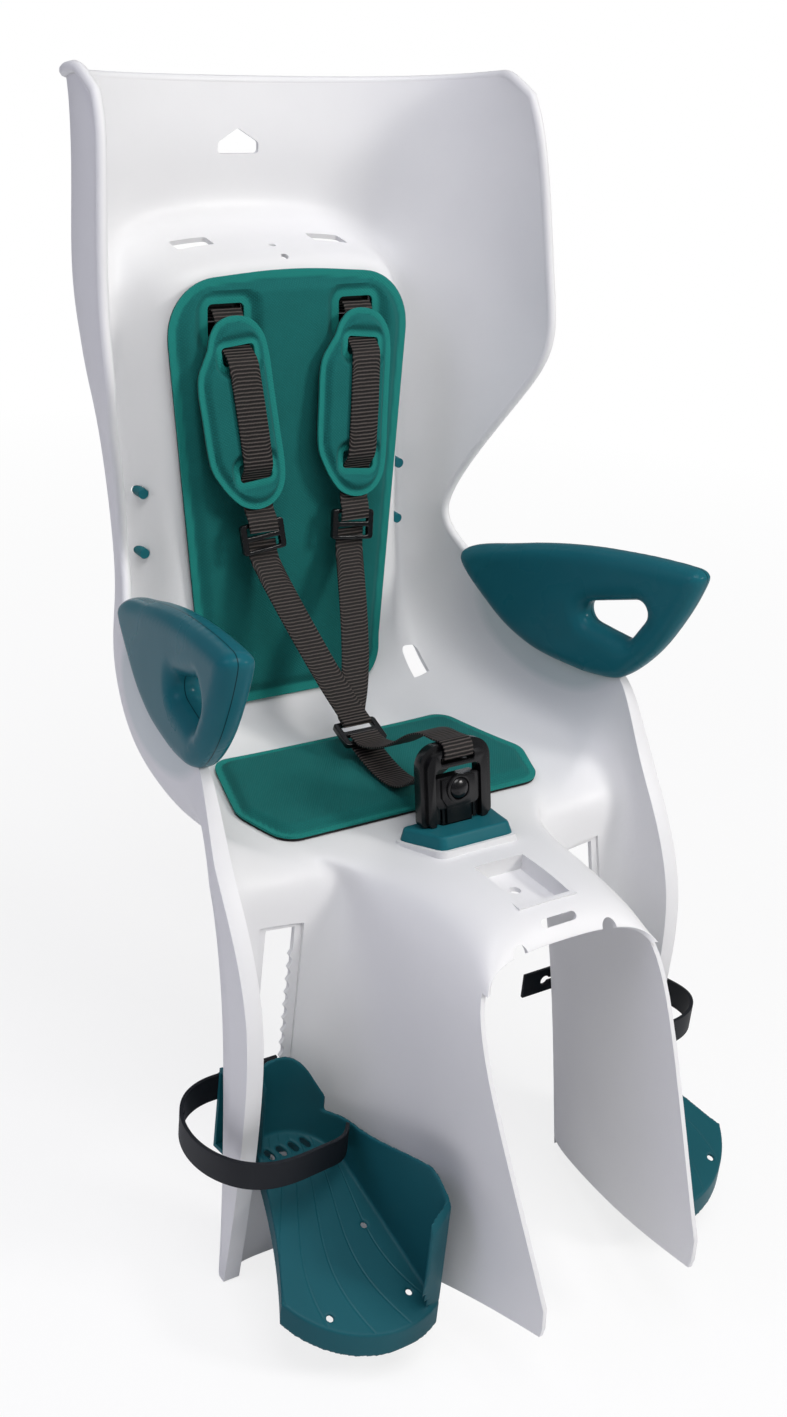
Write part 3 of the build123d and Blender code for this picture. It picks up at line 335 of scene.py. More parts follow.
def cover(name: str, outline: list[Flat], step: float) -> tuple[Object, np.ndarray]:
    """Add a flat grid that reaches 3 mm past an outline.

    Args:
        name: Object name.
        outline: Outline to be covered.
        step: Distance between the grid's points.

    Returns:
        The object, and the place of each of its vertices in the outline's plane.
    """
    ring = np.array(outline)
    low, high = ring.min(axis=0) - 3, ring.max(axis=0) + 3
    columns, rows = (np.ceil((high - low) / step).astype(int) + 1).tolist()
    obj, spots = grid(name, columns, rows)
    return obj, low + spots / [columns - 1, rows - 1] * (high - low)


def place_points(obj: Object, points: np.ndarray) -> None:
    """Set a mesh's vertices to points in millimetres."""
    obj.data.vertices.foreach_set("co", (np.asarray(points) * MM).ravel())
    obj.data.update()


def points_of(obj: Object) -> np.ndarray:
    """A mesh's vertices in millimetres."""
    flat = np.empty(len(obj.data.vertices) * 3)
    obj.data.vertices.foreach_get("co", flat)
    return flat.reshape(-1, 3) / MM


def moved(points: np.ndarray, place: Matrix) -> np.ndarray:
    """Points of a frame in the millimetres that its matrix leads to."""
    matrix = np.array(place)
    return points @ matrix[:3, :3].T + matrix[:3, 3]


def set_uv(obj: Object, flat: np.ndarray) -> None:
    """Give a mesh a UV map from a flat place, in metres, of each vertex."""
    corner = np.empty(len(obj.data.loops), dtype=int)
    obj.data.loops.foreach_get("vertex_index", corner)
    layer = obj.data.uv_layers.get("UVMap") or obj.data.uv_layers.new(name="UVMap")
    layer.data.foreach_set("uv", flat[corner].ravel())


def mark(obj: Object, name: str, values: np.ndarray) -> None:
    """Store a number at each vertex, for a material to read."""
    attribute = obj.data.attributes.new(name, "FLOAT", "POINT")
    attribute.data.foreach_set("value", np.asarray(values, dtype=float))


def new_object(name: str, data: bpy.types.ID) -> Object:
    """Add an object with its data to the scene."""
    obj = bpy.data.objects.new(name, data)
    bpy.context.collection.objects.link(obj)
    return obj


def cast_of(node: str, name: str) -> Object:
    """Copy of a CAD node as one merged mesh without materials.

    Args:
        node: CAD node.
        name: Name of the copy.

    Returns:
        The copy.
    """
    obj = new_object(name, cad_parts[node].data.copy())
    obj.data.materials.clear()
    edit_all(obj, bpy.ops.mesh.remove_doubles, threshold=1e-6)
    return obj


def soften(obj: Object, voxel: float, rounds: int) -> None:
    """Round the edges of a moulded piece.

    Args:
        obj: Closed mesh.
        voxel: Size of the new faces in millimetres.
        rounds: Passes of smoothing.
    """
    modify(obj, "REMESH", mode="VOXEL", voxel_size=voxel * MM, adaptivity=0.0)
    modify(obj, "SMOOTH", factor=0.5, iterations=rounds)
    smooth(obj, 60)


def settle(obj: Object, place: Matrix, tree: BVHTree, fade: float) -> None:
    """Lift a piece along its frame's Z wherever the surface under it stands above the frame's plane.

    Args:
        obj: Piece that lies on the surface.
        place: Its frame.
        tree: Surface that it lies on.
        fade: Height in the frame, in millimetres, from which the lift dies out.
    """
    above, ray, fade_length = 60, 0.12, 60
    inverse = place.inverted()
    out = (place.to_3x3() @ Vector((0, 0, 1))).normalized()
    for vertex in obj.data.vertices:
        spot = inverse @ (vertex.co / MM)
        start = place @ Vector((spot.x, spot.y, above))
        hit = tree.ray_cast(start * MM, -out, ray)[0]
        if hit:
            share = 1 - float(ease((spot.y - fade) / fade_length))
            vertex.co += out * max(0.0, (inverse @ (hit / MM)).z) * share * MM
    obj.data.update()


def mirrored(obj: Object, name: str) -> Object:
    """Copy of a piece on the other side of the seat, with its own mesh."""
    twin = new_object(name, obj.data.copy())
    twin.data.transform(Side.RIGHT.flip)
    twin.data.flip_normals()
    return twin


# Finishes


def linear(code: str) -> tuple[float, float, float, float]:
    """Linear colour of an sRGB hex code such as 1E7370."""
    shades = [int(code[i:i + 2], 16) / 255 for i in (0, 2, 4)]
    return (*[s / 12.92 if s <= 0.04045 else ((s + 0.055) / 1.055) ** 2.4 for s in shades], 1.0)


def add_node(tree: NodeTree, kind: str, settings: dict | None = None, links: dict | None = None):
    """Add a node with its settings and links.

    Args:
        tree: Node tree.
        kind: Node class.
        settings: Input values by socket, or node properties by name.
        links: Output sockets by the input that they feed.

    Returns:
        The node.
    """
    node = tree.nodes.new(kind)
    for key, value in (settings or {}).items():
        if isinstance(key, int) or key in node.inputs:
            node.inputs[key].default_value = value
        else:
            setattr(node, key, value)
    for key, source in (links or {}).items():
        tree.links.new(source, node.inputs[key])
    return node


def maths(tree: NodeTree, operation: str, *values: float | Socket) -> Socket:
    """Result of a maths node whose inputs are numbers or sockets."""
    numbers = {i: value for i, value in enumerate(values) if isinstance(value, (int, float))}
    links = {i: value for i, value in enumerate(values) if i not in numbers}
    return add_node(tree, "ShaderNodeMath", {"operation": operation, **numbers}, links).outputs[0]


def ramp(tree: NodeTree, value: Socket, start: float, end: float, low: float = 0.0,
         high: float = 1.0) -> Socket:
    """Value that goes from low to high while another goes from start to end."""
    return add_node(tree, "ShaderNodeMapRange", {1: start, 2: end, 3: low, 4: high}, {0: value}).outputs[0]


def blend(tree: NodeTree, share: Socket, first: str | Socket, second: str | Socket) -> Socket:
    """Colour a share of the way between two, each an sRGB hex code or a socket."""
    pair = {6: first, 7: second}
    codes = {i: linear(colour) for i, colour in pair.items() if isinstance(colour, str)}
    links = {i: colour for i, colour in pair.items() if i not in codes}
    return add_node(tree, "ShaderNodeMix", {"data_type": "RGBA", **codes}, {0: share, **links}).outputs[2]


def noise(tree: NodeTree, spot: Socket, width: float, detail: float) -> Socket:
    """Noise with bumps of a width in millimetres."""
    settings = {"Scale": 1 / (width * MM), "Detail": detail}
    return add_node(tree, "ShaderNodeTexNoise", settings, {0: spot}).outputs["Fac"]


def wave(tree: NodeTree, spot: Socket, pitch: float, settings: dict | None = None) -> Socket:
    """Bands a pitch in millimetres apart."""
    scale = {"Scale": WAVE_PITCH / (pitch * MM)}
    return add_node(tree, "ShaderNodeTexWave", scale | (settings or {}), {0: spot}).outputs["Fac"]


def axes(tree: NodeTree, vector: Socket) -> list[Socket]:
    """X, Y and Z of a vector."""
    return list(add_node(tree, "ShaderNodeSeparateXYZ", None, {0: vector}).outputs)


def length(tree: NodeTree, vector: Socket) -> Socket:
    """Length of a vector."""
    return add_node(tree, "ShaderNodeVectorMath", {"operation": "LENGTH"}, {0: vector}).outputs["Value"]


def bump(tree: NodeTree, shader: Node, height: Socket, depth: float, strength: float = 1.0) -> None:
    """Link a height, with its depth in millimetres, to a shader's normal."""
    node = add_node(tree, "ShaderNodeBump", {"Strength": strength, "Distance": depth * MM}, {"Height": height})
    tree.links.new(node.outputs[0], shader.inputs["Normal"])


@dataclass(frozen=True)
class Finish:
    """A material with its colour, gloss and fine grain; grain is the width of its bumps in millimetres."""

    name: str
    colour: str
    shade: str
    roughness: float
    ior: float = 1.5
    coat: float = 0.0
    grain: float = 1.5
    depth: float = 0.05
    metallic: float = 0.0
    sheen: float = 0.0
    specular: float = 0.5
    mottle: float = 60.0
    gloss_play: float = 0.05

    def material(self) -> bpy.types.Material:
        """Material of this finish, made once."""
        found = bpy.data.materials.get(self.name)
        if found:
            return found
        material = bpy.data.materials.new(self.name)
        material.use_nodes = True
        tree = material.node_tree
        shader = tree.nodes["Principled BSDF"]
        for key, value in (("IOR", self.ior), ("Metallic", self.metallic), ("Coat Weight", self.coat),
                           ("Coat Roughness", 0.12), ("Sheen Weight", self.sheen), ("Sheen Roughness", 0.4),
                           ("Specular IOR Level", self.specular)):
            shader.inputs[key].default_value = value
        self.paint(tree, shader)
        return material

    def paint(self, tree: NodeTree, shader: Node) -> None:
        """Link colour, roughness and bump of a moulded surface: a faint mottle and spark-eroded mould grain."""
        spot = add_node(tree, "ShaderNodeTexCoord").outputs["Object"]
        mottle = noise(tree, spot, self.mottle, 3.0)
        tint = blend(tree, mottle, self.colour, self.shade)
        tree.links.new(self.tinted(tree, spot, tint), shader.inputs["Base Color"])
        gloss = ramp(tree, mottle, 0.0, 1.0, self.roughness - self.gloss_play, self.roughness + self.gloss_play)
        tree.links.new(gloss, shader.inputs["Roughness"])
        bump(tree, shader, self.relief(tree, spot, noise(tree, spot, self.grain, 2.0)), self.depth)

    def tinted(self, tree: NodeTree, spot: Socket, colour: Socket) -> Socket:
        """Colour of the surface; plain pieces keep the mottle."""
        return colour

    def relief(self, tree: NodeTree, spot: Socket, grain: Socket) -> Socket:
        """Height of the surface; plain pieces keep the mould grain."""
        return grain


@dataclass(frozen=True)
class SeamedPlastic(Finish):
    """Two glossy mouldings that meet at a seam across the armrest; the seam is a plane in the seat's frame."""

    seam: float = 0.0
    turn: float = 0.0
    line: str = "0A2A30"
    line_half: Flat = (0.2, 0.5)

    def tinted(self, tree: NodeTree, spot: Socket, colour: Socket) -> Socket:
        """Colour with the dark line of the seam, 0.7 mm wide."""
        x, y, _ = axes(tree, spot)
        outward = maths(tree, "MULTIPLY", maths(tree, "ABSOLUTE", x), math.cos(self.turn))
        across = maths(tree, "MULTIPLY_ADD", y, math.sin(self.turn), outward)
        gap = maths(tree, "ABSOLUTE", maths(tree, "SUBTRACT", across, self.seam * MM))
        full, none = self.line_half
        return blend(tree, ramp(tree, gap, full * MM, none * MM, 1.0, 0.0), colour, self.line)


@dataclass(frozen=True)
class SolePlastic(Finish):
    """Satin moulding of the footrests, with fine grooves that fan out from heel to toe.

    The fan's middle line, its width at the seat's zero and how fast it widens forwards are in metres, the grooves'
    pitch and width are shares of the fan.
    """

    middle: float = 0.128
    fan_width: float = 0.085
    widening: float = 0.75
    sway: float = 0.09
    sway_rate: float = 42.0
    pitch: float = 0.085
    groove: float = 0.009
    cut: float = -5.0
    level: Flat = (0.75, 0.85)

    def relief(self, tree: NodeTree, spot: Socket, grain: Socket) -> Socket:
        """Mould grain with the grooves cut into the level faces."""
        x, y, _ = axes(tree, spot)
        width = maths(tree, "MULTIPLY_ADD", y, -self.widening, self.fan_width)
        fan = maths(tree, "DIVIDE", maths(tree, "SUBTRACT", maths(tree, "ABSOLUTE", x), self.middle), width)
        bend = maths(tree, "SINE", maths(tree, "MULTIPLY", width, self.sway_rate))
        curved = maths(tree, "MULTIPLY_ADD", bend, self.sway, fan)
        depth = ramp(tree, maths(tree, "PINGPONG", curved, self.pitch), 0.0, self.groove, self.cut, 0.0)
        up = axes(tree, add_node(tree, "ShaderNodeNewGeometry").outputs["Normal"])[2]
        return maths(tree, "ADD", grain, maths(tree, "MULTIPLY", depth, ramp(tree, up, *self.level)))


@dataclass(frozen=True)
class ShellPlastic(Finish):
    """White polypropylene, thin enough to let light through. It has a faint grey-green painted shade at the sides
    where the armrests' tongues behind it would block that light.

    A tongue is an ellipse seen from the side, with its middle and half sizes along Y and Z in metres.
    """

    tongue: Flat = (0.205, 0.092)
    tongue_half: Flat = (0.085, 0.05)
    # behind: colour of the painted shade where a tongue would block the light coming through the wall
    behind: str = "9DB4B4"
    strength: float = 0.42
    blur: Flat = (0.85, 1.0)
    sides: Flat = (0.120, 0.150)

    def tinted(self, tree: NodeTree, spot: Socket, colour: Socket) -> Socket:
        """Colour with the painted shade of the tongues at the sides below the armrests."""
        x, y, z = axes(tree, spot)
        flat = add_node(tree, "ShaderNodeCombineXYZ", None, {1: y, 2: z}).outputs[0]
        ellipse = {"vector_type": "TEXTURE", "Location": (0, *self.tongue), "Scale": (1, *self.tongue_half)}
        near = add_node(tree, "ShaderNodeMapping", ellipse, {0: flat}).outputs[0]
        far = length(tree, near)
        aside = ramp(tree, maths(tree, "ABSOLUTE", x), *self.sides)
        # Painted shade: strongest in the middle of each tongue's ellipse, and only at the sides of the seat.
        tongue_painted_shade = maths(tree, "MULTIPLY", ramp(tree, far, *self.blur, self.strength, 0.0), aside)
        return blend(tree, tongue_painted_shade, colour, self.behind)


@dataclass(frozen=True)
class PadFabric(Finish):
    """Knitted polyester bonded to foam: a fine mesh that is pressed flat and brighter along the edges.

    The real knit is about 0.8 mm, too fine to show, so its mesh is drawn at 1.7 mm.
    """

    pressed: str = "1E7C75"
    mesh: float = 1.7
    mesh_turn: float = math.radians(38)
    cloud: float = 25.0
    pore: float = 0.35
    edge_gloss: float = 0.2

    def paint(self, tree: NodeTree, shader: Node) -> None:
        """Link the knit's mesh, the pressed edge and its colours."""
        spot = add_node(tree, "ShaderNodeUVMap", {"uv_map": "UVMap"}).outputs[0]
        edge = add_node(tree, "ShaderNodeAttribute", {"attribute_name": "pressed"}).outputs["Fac"]
        turned = add_node(tree, "ShaderNodeMapping", {"Rotation": (0, 0, self.mesh_turn)}, {0: spot}).outputs[0]
        weft = wave(tree, turned, self.mesh, {"bands_direction": "Y"})
        knit = maths(tree, "MULTIPLY", wave(tree, turned, self.mesh), weft)
        body = blend(tree, noise(tree, spot, self.cloud, 4.0), self.colour, self.shade)
        pores = blend(tree, maths(tree, "MULTIPLY", knit, self.pore), body, self.pressed)
        tree.links.new(blend(tree, edge, pores, self.pressed), shader.inputs["Base Color"])
        gloss = ramp(tree, edge, 0.0, 1.0, self.roughness, self.roughness - self.edge_gloss)
        tree.links.new(gloss, shader.inputs["Roughness"])
        bump(tree, shader, knit, self.depth, 0.9)


@dataclass(frozen=True)
class Webbing(Finish):
    """Woven polyester webbing: cross ribs with a painted highlight on their crests and painted shade between them.
    The ribs are drawn 2.9 mm apart so that they show.
    """

    rib: float = 2.9
    thread: float = 1.3
    thread_share: float = 0.3
    rib_power: float = 3.2

    def paint(self, tree: NodeTree, shader: Node) -> None:
        """Link the ribs and their broken threads, with a painted highlight on top of the ribs and painted shade
        between them.
        """
        spot = add_node(tree, "ShaderNodeUVMap", {"uv_map": "UVMap"}).outputs[0]
        uneven = {"bands_direction": "Y", "Distortion": 0.6, "Detail": 1.0, "Detail Scale": 2.0}
        ribs = wave(tree, spot, self.rib, uneven)
        weave = maths(tree, "MULTIPLY", ribs, wave(tree, spot, self.thread))
        both = maths(tree, "MULTIPLY_ADD", weave, self.thread_share, maths(tree, "POWER", ribs, self.rib_power))
        # The colour runs from painted shade between the ribs to a painted highlight on their crests.
        tree.links.new(blend(tree, both, self.shade, self.colour), shader.inputs["Base Color"])
        shader.inputs["Roughness"].default_value = self.roughness
        bump(tree, shader, both, self.depth)


WHITE_SHELL = ShellPlastic("moulded_polypropylene_white", "E4E4E5", "DEDEE0", 0.42, 1.49, grain=1.6, depth=0.02,
                           specular=0.35)
ARM_TEAL = SeamedPlastic("glossy_abs_dark_teal", "1E636E", "1B5A66", 0.28, 1.53, coat=0.06, grain=2.0, depth=0.012,
                         specular=0.05, seam=205.46, turn=math.radians(10))
FOOT_TEAL = SolePlastic("satin_polypropylene_teal", "1A5761", "174E58", 0.42, 1.49, grain=1.4, depth=0.06,
                        specular=0.12)
TEAL = Finish("moulded_polypropylene_teal", "1D656E", "195B65", 0.4, 1.49, grain=1.4, depth=0.02, specular=0.1)
PAD = PadFabric("bonded_polyester_knit_teal", "1A6462", "175957", 0.9, depth=0.25, sheen=0.03, specular=0.1)
FOAM = Finish("closed_cell_foam_black", "1B1B1C", "262425", 0.9, grain=0.9, depth=0.15, specular=0.2)
# Webbing: the lighter colour is a painted highlight on the rib crests, the darker one is painted shade between
# them.
WEBBING = Webbing("woven_polyester_webbing_black", "554E4B", "0B0A0A", 0.6, depth=0.45, specular=0.2)
BLACK = Finish("moulded_acetal_black", "0A0A0C", "0F0F11", 0.24, 1.48, coat=0.1, grain=1.2, depth=0.012,
               specular=0.35)
RUBBER = Finish("moulded_rubber_slate", "1C1F25", "17191E", 0.55, 1.52, grain=0.9, depth=0.03, specular=0.2)
STEEL = Finish("zinc_plated_steel", "B9BBBE", "A7A9AD", 0.3, grain=0.8, depth=0.01, metallic=1.0)


def dress(obj: Object, finish: Finish, body: str, slot: str, *nodes: str) -> None:
    """Give a new piece its finish, its body and the CAD nodes that it stands for.

    Args:
        obj: New piece.
        finish: Its finish.
        body: Body that it rides on.
        slot: The record's material slot; not used.
        nodes: CAD nodes that it replaces.
    """
    obj.data.materials.clear()
    obj.data.materials.append(finish.material())
    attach(obj, body)
    if nodes:
        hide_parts(*nodes)
    log.info("%s: %d faces", obj.name, len(obj.data.polygons))


# Shell


@dataclass
class Shell:
    """One-piece moulded shell: a smooth sheet through half sections, thickened outwards and cut."""

    wall: float = 3.5
    lip: float = 13.0
    wing: float = 188.0
    waist: float = 142.0
    rail: float = 195.0
    wing_top: float = 505.0
    wing_low: float = 318.0
    waist_z: float = 156.0
    back_y: float = 449.0
    back_z: float = 479.0
    panel: float = 104.0
    panel_foot: Flat = (311.5, 20.0)
    panel_lean: float = 0.1246
    ledge: float = 369.0
    pan: float = 2.5
    saddle: float = 16.0
    arch: float = -58.0
    guard: float = 82.0
    leg_back: float = 66.4
    leg_slope: float = 0.137
    leg_low: float = -303.0
    foot_z: float = -185.0
    rail_lift: float = 32.0
    slot_x: float = 152.0
    slot_slant: float = 0.11
    bead: float = 4.0
    bead_sunk: float = 0.3
    bead_foot: float = 100.0
    collar_drop: float = 8.4
    tooth_count: int = 17
    tooth_pitch: float = 10
    plug_heights: Flat = (143, 190)
    shares: tuple = (0, 0.42, 0.77, 1.0, 1.12, 1.24)

    def panel_y(self, z: float) -> float:
        """Front of the raised back panel at a height."""
        return self.panel_foot[0] + (z - self.panel_foot[1]) * self.panel_lean

    def wall_y(self, z: float) -> float:
        """Front of a leg's sloping back wall at a height."""
        return self.leg_back + (z - self.foot_z) * self.leg_slope

    def bucket(self, rim: Point, mid_y: float, mid_z: float, square: float) -> list[Point]:
        """Half a U section from the middle of the back or pan out to the rim."""
        rim_x, rim_y, rim_z = rim

        def height(x: float) -> float:
            """Share of the way to the rim at a distance from the middle."""
            return 1 - (1 - (x / rim_x) ** square) ** (1 / square)

        rim_room, climb = 14, 7
        reach = min(self.panel, (rim_x - rim_room) / self.shares[-1])
        row = []
        for share in self.shares:
            h = height(share * reach)
            row.append((share * reach, mix(mid_y, rim_y, h), mix(mid_z, rim_z, h)))
        low = height(self.shares[-1] * reach)
        for i in range(1, climb + 1):
            h = mix(low, 1.0, i / climb)
            x = rim_x * (1 - (1 - h) ** square) ** (1 / square)
            row.append((x, mix(mid_y, rim_y, h), mix(mid_z, rim_z, h)))
        return row

    def raised(self, row: list[Point], mid_z: float) -> None:
        """Bring the middle of a back row forward to the face of the raised panel."""
        for i, share in enumerate([0, 0, 0, 0.05, 0.5]):
            x, y, z = row[i]
            face = min(y, self.panel_y(mid_z))
            row[i] = (x, mix(face, y, share), mix(mid_z, z, share))

    def ledged(self, row: list[Point], depth: list[float], drop: list[float]) -> None:
        """Shape a row over the ledge: depth behind the panel's face and drop below the ledge."""
        for i in range(6):
            row[i] = (row[i][0], self.panel_y(self.ledge) + depth[i], self.ledge - drop[i])

    def leg(self, saddle_y: float, saddle_z: float, leg_z: float, rail_y: float, fan: float) -> list[Point]:
        """Half a section over the saddle, down the guard, across the leg's back wall and out to the rail."""
        back_y = self.wall_y(leg_z)
        guard = self.guard
        inner = self.rail - self.lip
        lift = self.rail_lift * (1 - fan)
        row = [
            (0, saddle_y, saddle_z),
            (42, saddle_y, saddle_z - 1),
            (mix(42, guard, 0.72), saddle_y - 1, saddle_z - 7),
            (guard + 3, mix(saddle_y, back_y, 0.16), mix(saddle_z, leg_z, 0.42)),
            (guard + 4, mix(saddle_y, back_y, 0.75), mix(saddle_z, leg_z, 0.9)),
            (guard + 18, back_y - 4, leg_z),
            (guard + 36, back_y - 1, leg_z),
            (guard + 60, back_y, leg_z),
            (inner - 10, back_y - 1, leg_z + 2),
            (inner - 1, mix(back_y, rail_y, 0.25), leg_z + lift * 0.3),
            (inner, mix(back_y, rail_y, 0.55), leg_z + lift * 0.6),
            (inner, mix(back_y, rail_y, 0.85), leg_z + lift * 0.9),
            (inner, rail_y, leg_z + lift),
        ]
        edge = [
            (guard - 5, self.arch - 8, self.saddle - 28),
            (guard + 4, self.arch - 42, -54),
            (58, -215, -283),
            (mix(62, 118, 0.65), mix(-174, self.leg_back, 0.65), self.leg_low + 8),
            (118, self.wall_y(self.leg_low) - 2, self.leg_low + 3),
        ]
        for i, point in enumerate(edge, start=2):
            row[i] = tuple(mix(a, b, fan) for a, b in zip(row[i], point))
        return row

    def net(self) -> list[list[Point]]:
        """Rows of half sections, top edge to leg channels."""
        wing, waist, top, low = self.wing, self.waist, self.wing_top, self.wing_low
        by, bz, ledge = self.back_y, self.back_z, self.ledge
        sections = [
            ((wing - 9, 320, top), by, bz, 2.6),
            ((wing - 8, 305, top - 19), by - 3, bz - 17, 2.6),
            ((wing - 5, 290, mix(low, top, 0.6)), by - 10, bz - 55, 2.6),
            ((wing, 276, mix(low, top, 0.2)), by - 14, ledge + 24, 2.6),
            ((wing, 264, low), by - 16, ledge, 2.6),
            ((wing - 4, 267, low - 24), by - 20, ledge - 14, 2.6),
            ((wing - 10, 279, low - 48), by - 24, ledge - 32, 2.6),
            ((mix(waist, wing, 0.5), 295, mix(self.waist_z, low, 0.5)), by - 30, 298, 2.6),
            ((mix(waist, wing, 0.2), 316, mix(self.waist_z, low, 0.24)), by - 40, 222, 2.6),
            ((waist, 329, self.waist_z), by - 53, 135, 2.6),
            ((waist + 5, 311, self.waist_z - 22), by - 64, 82, 2.6),
            ((waist + 20, 280, self.waist_z - 46), by - 80, 38, 2.8),
            ((waist + 31, 222, self.waist_z - 60), self.panel_foot[0] - 22, self.pan + 1, 4.6),
            ((waist + 37, 165, self.waist_z - 64), 215, self.pan, 6.0),
            ((waist + 40, 128, self.waist_z - 68), 150, self.pan, 6.0),
        ]
        rows = [self.bucket(*section) for section in sections]
        rows[0][-2] = (wing - 11, 340, top - 5)
        rows[0][-1] = (wing - 10, 312, top - 17)
        rows[1][-1] = (wing - 9, 301, top - 35)
        self.ledged(rows[3], [90, 88, 84, 76, 70, 62], [-18, -16, -14, -10, -6, -3])
        self.ledged(rows[4], [64, 63, 62, 60, 56, 50], [0, 0, 3, 9, 13, 14])
        self.ledged(rows[5], [3, 3, 6, 20, 38, 42], [0, 0, 4, 16, 26, 28])
        self.ledged(rows[6], [-6, -6, -6, 2, 24, 38], [18, 18, 21, 32, 42, 46])
        for row, mid_z in zip(rows[7:12], [298, 222, 135, 82, 38]):
            self.raised(row, mid_z)
        rail = self.rail - self.lip
        hip = [(0.71, 3), (0.78, 4), (0.87, 7), (0.95, 20), (0.99, 40), (1.0, 60), (1.0, 76)]
        front = [(share * self.panel, 110, self.pan + 0.5) for share in self.shares]
        rows.append(front + [(share * rail, 110, z) for share, z in hip])
        legs = [
            (80, 7, -8, 82, 0.0),
            (48, 13, -40, 56, 0.0),
            (4, self.saddle, -92, 25, 0.12),
            (-34, self.saddle - 1, -155, 22, 0.4),
            (mix(-34, self.arch, 0.6), self.saddle - 8, -235, mix(22, 38, 0.4), 0.75),
            (self.arch, self.saddle - 20, self.leg_low, 38, 1.0),
        ]
        rows += [self.leg(*leg) for leg in legs]
        return rows

    def sheet(self) -> Object:
        """Smooth sheet on the child's side, its faces turned outwards, with the lip's share on its points."""
        whole = [[(-x, y, z) for x, y, z in reversed(row[1:])] + row for row in self.net()]
        down, across = len(whole), len(whole[0])
        obj, spots = grid("shell_sheet", across, down)
        place_points(obj, np.array(whole)[spots[:, 1], spots[:, 0]])
        group = obj.vertex_groups.new(name="lip")
        swells = (1.0, 1.0, 1.0, 0.8)
        first_row, rows = 13.5, 2.5
        for index, (i, j) in enumerate(spots):
            to_rim = min(i, across - 1 - i)
            swell = swells[to_rim] if to_rim < len(swells) else 0.0
            group.add([index], swell * min(1.0, max(0.0, (j - first_row) / rows)), "REPLACE")
        refine(obj)
        return obj

    def rim_bead(self, sheet: Object) -> Object:
        """Rolled edge along the rim of the wings and back, down to the armrests.

        Args:
            sheet: Smooth sheet before it is thickened.

        Returns:
            Closed tube that stands outside the rim.
        """
        mesh = bmesh.new()
        mesh.from_mesh(sheet.data)
        rim = {e for e in mesh.edges if e.is_boundary and min(v.co.z for v in e.verts) > self.bead_foot * MM}
        ends = [v for e in rim for v in e.verts if sum(f in rim for f in v.link_edges) == 1]
        chain = [min(ends, key=lambda v: v.co.x)]
        edge = None
        while True:
            ahead = [e for e in chain[-1].link_edges if e in rim and e is not edge]
            if not ahead:
                break
            edge = ahead[0]
            chain.append(edge.other_vert(chain[-1]))
        points = [v.co + v.normal * (self.bead - self.bead_sunk) * MM for v in chain]
        mesh.free()
        deselect()
        curve = bpy.data.curves.new("rim_bead", "CURVE")
        curve.dimensions = "3D"
        curve.bevel_depth = self.bead * MM
        curve.bevel_resolution = 3
        curve.use_fill_caps = True
        spline = curve.splines.new("POLY")
        spline.points.add(len(points) - 1)
        for knot, point in zip(spline.points, points):
            knot.co = (*point, 1)
        obj = new_object("rim_bead", curve)
        activate(obj)
        bpy.ops.object.convert(target="MESH")
        return obj

    def slide(self) -> Matrix:
        """Frame of the left foot slot: Z up the slide, Y through the back wall."""
        axis = Vector((-self.slot_slant, self.leg_slope, 1)).normalized()
        rear = Vector((0, 1, -self.leg_slope)).normalized()
        return plane((self.slot_x, self.leg_back, self.foot_z), rear.cross(axis), axis)

    def on_slides(self, name: str, x: Flat, y: Flat, z: Flat) -> list[Object]:
        """Block in the frame of each foot slot."""
        return [slab(name, x, y, z, side.flip @ self.slide()) for side in Side]

    def added(self) -> list[Object]:
        """Walls of the base pocket, the buckle's collar and flat frames round the foot slots."""
        rise = Vector((0, math.sin(BUCKLE_LEAN), math.cos(BUCKLE_LEAN)))
        foot = plane(Vector(BUCKLE_FOOT) - rise * self.collar_drop, (1, 0, 0), rise)
        rim = rounded([(-34, -32.2, 9), (34, -32.2, 9), (46.2, 18, 9), (-46.2, 18, 9)], 8)
        collar = prism("collar", rim, foot, -5, 1.0)
        pocket = slab("pocket", (-25, 25), (-35.5, 25.5), (-1.75, 13.5))
        return [pocket, collar, *self.on_slides("slot_frame", (-18, 18), (1, 5), (-48, 148))]

    def teeth(self) -> list[Object]:
        """Ratchet teeth on the inner edges of the foot slots."""
        outline = [(-13, -40)]
        for i in range(self.tooth_count):
            z = -40 + i * self.tooth_pitch
            outline += [(-12, z), (-9.5, z + 3.5), (-12, z + 7)]
        outline.append((-13, 130))
        upright = self.slide() @ Matrix.Rotation(math.pi / 2, 4, "X")
        return [prism("rack", outline, side.flip @ upright, -4.5, -1) for side in Side]

    def rooms(self) -> list[Object]:
        """Room ahead of the slot frames that the sheet gives up."""
        return self.on_slides("slot_room", (-18, 18), (-10, 1), (-48, 148))

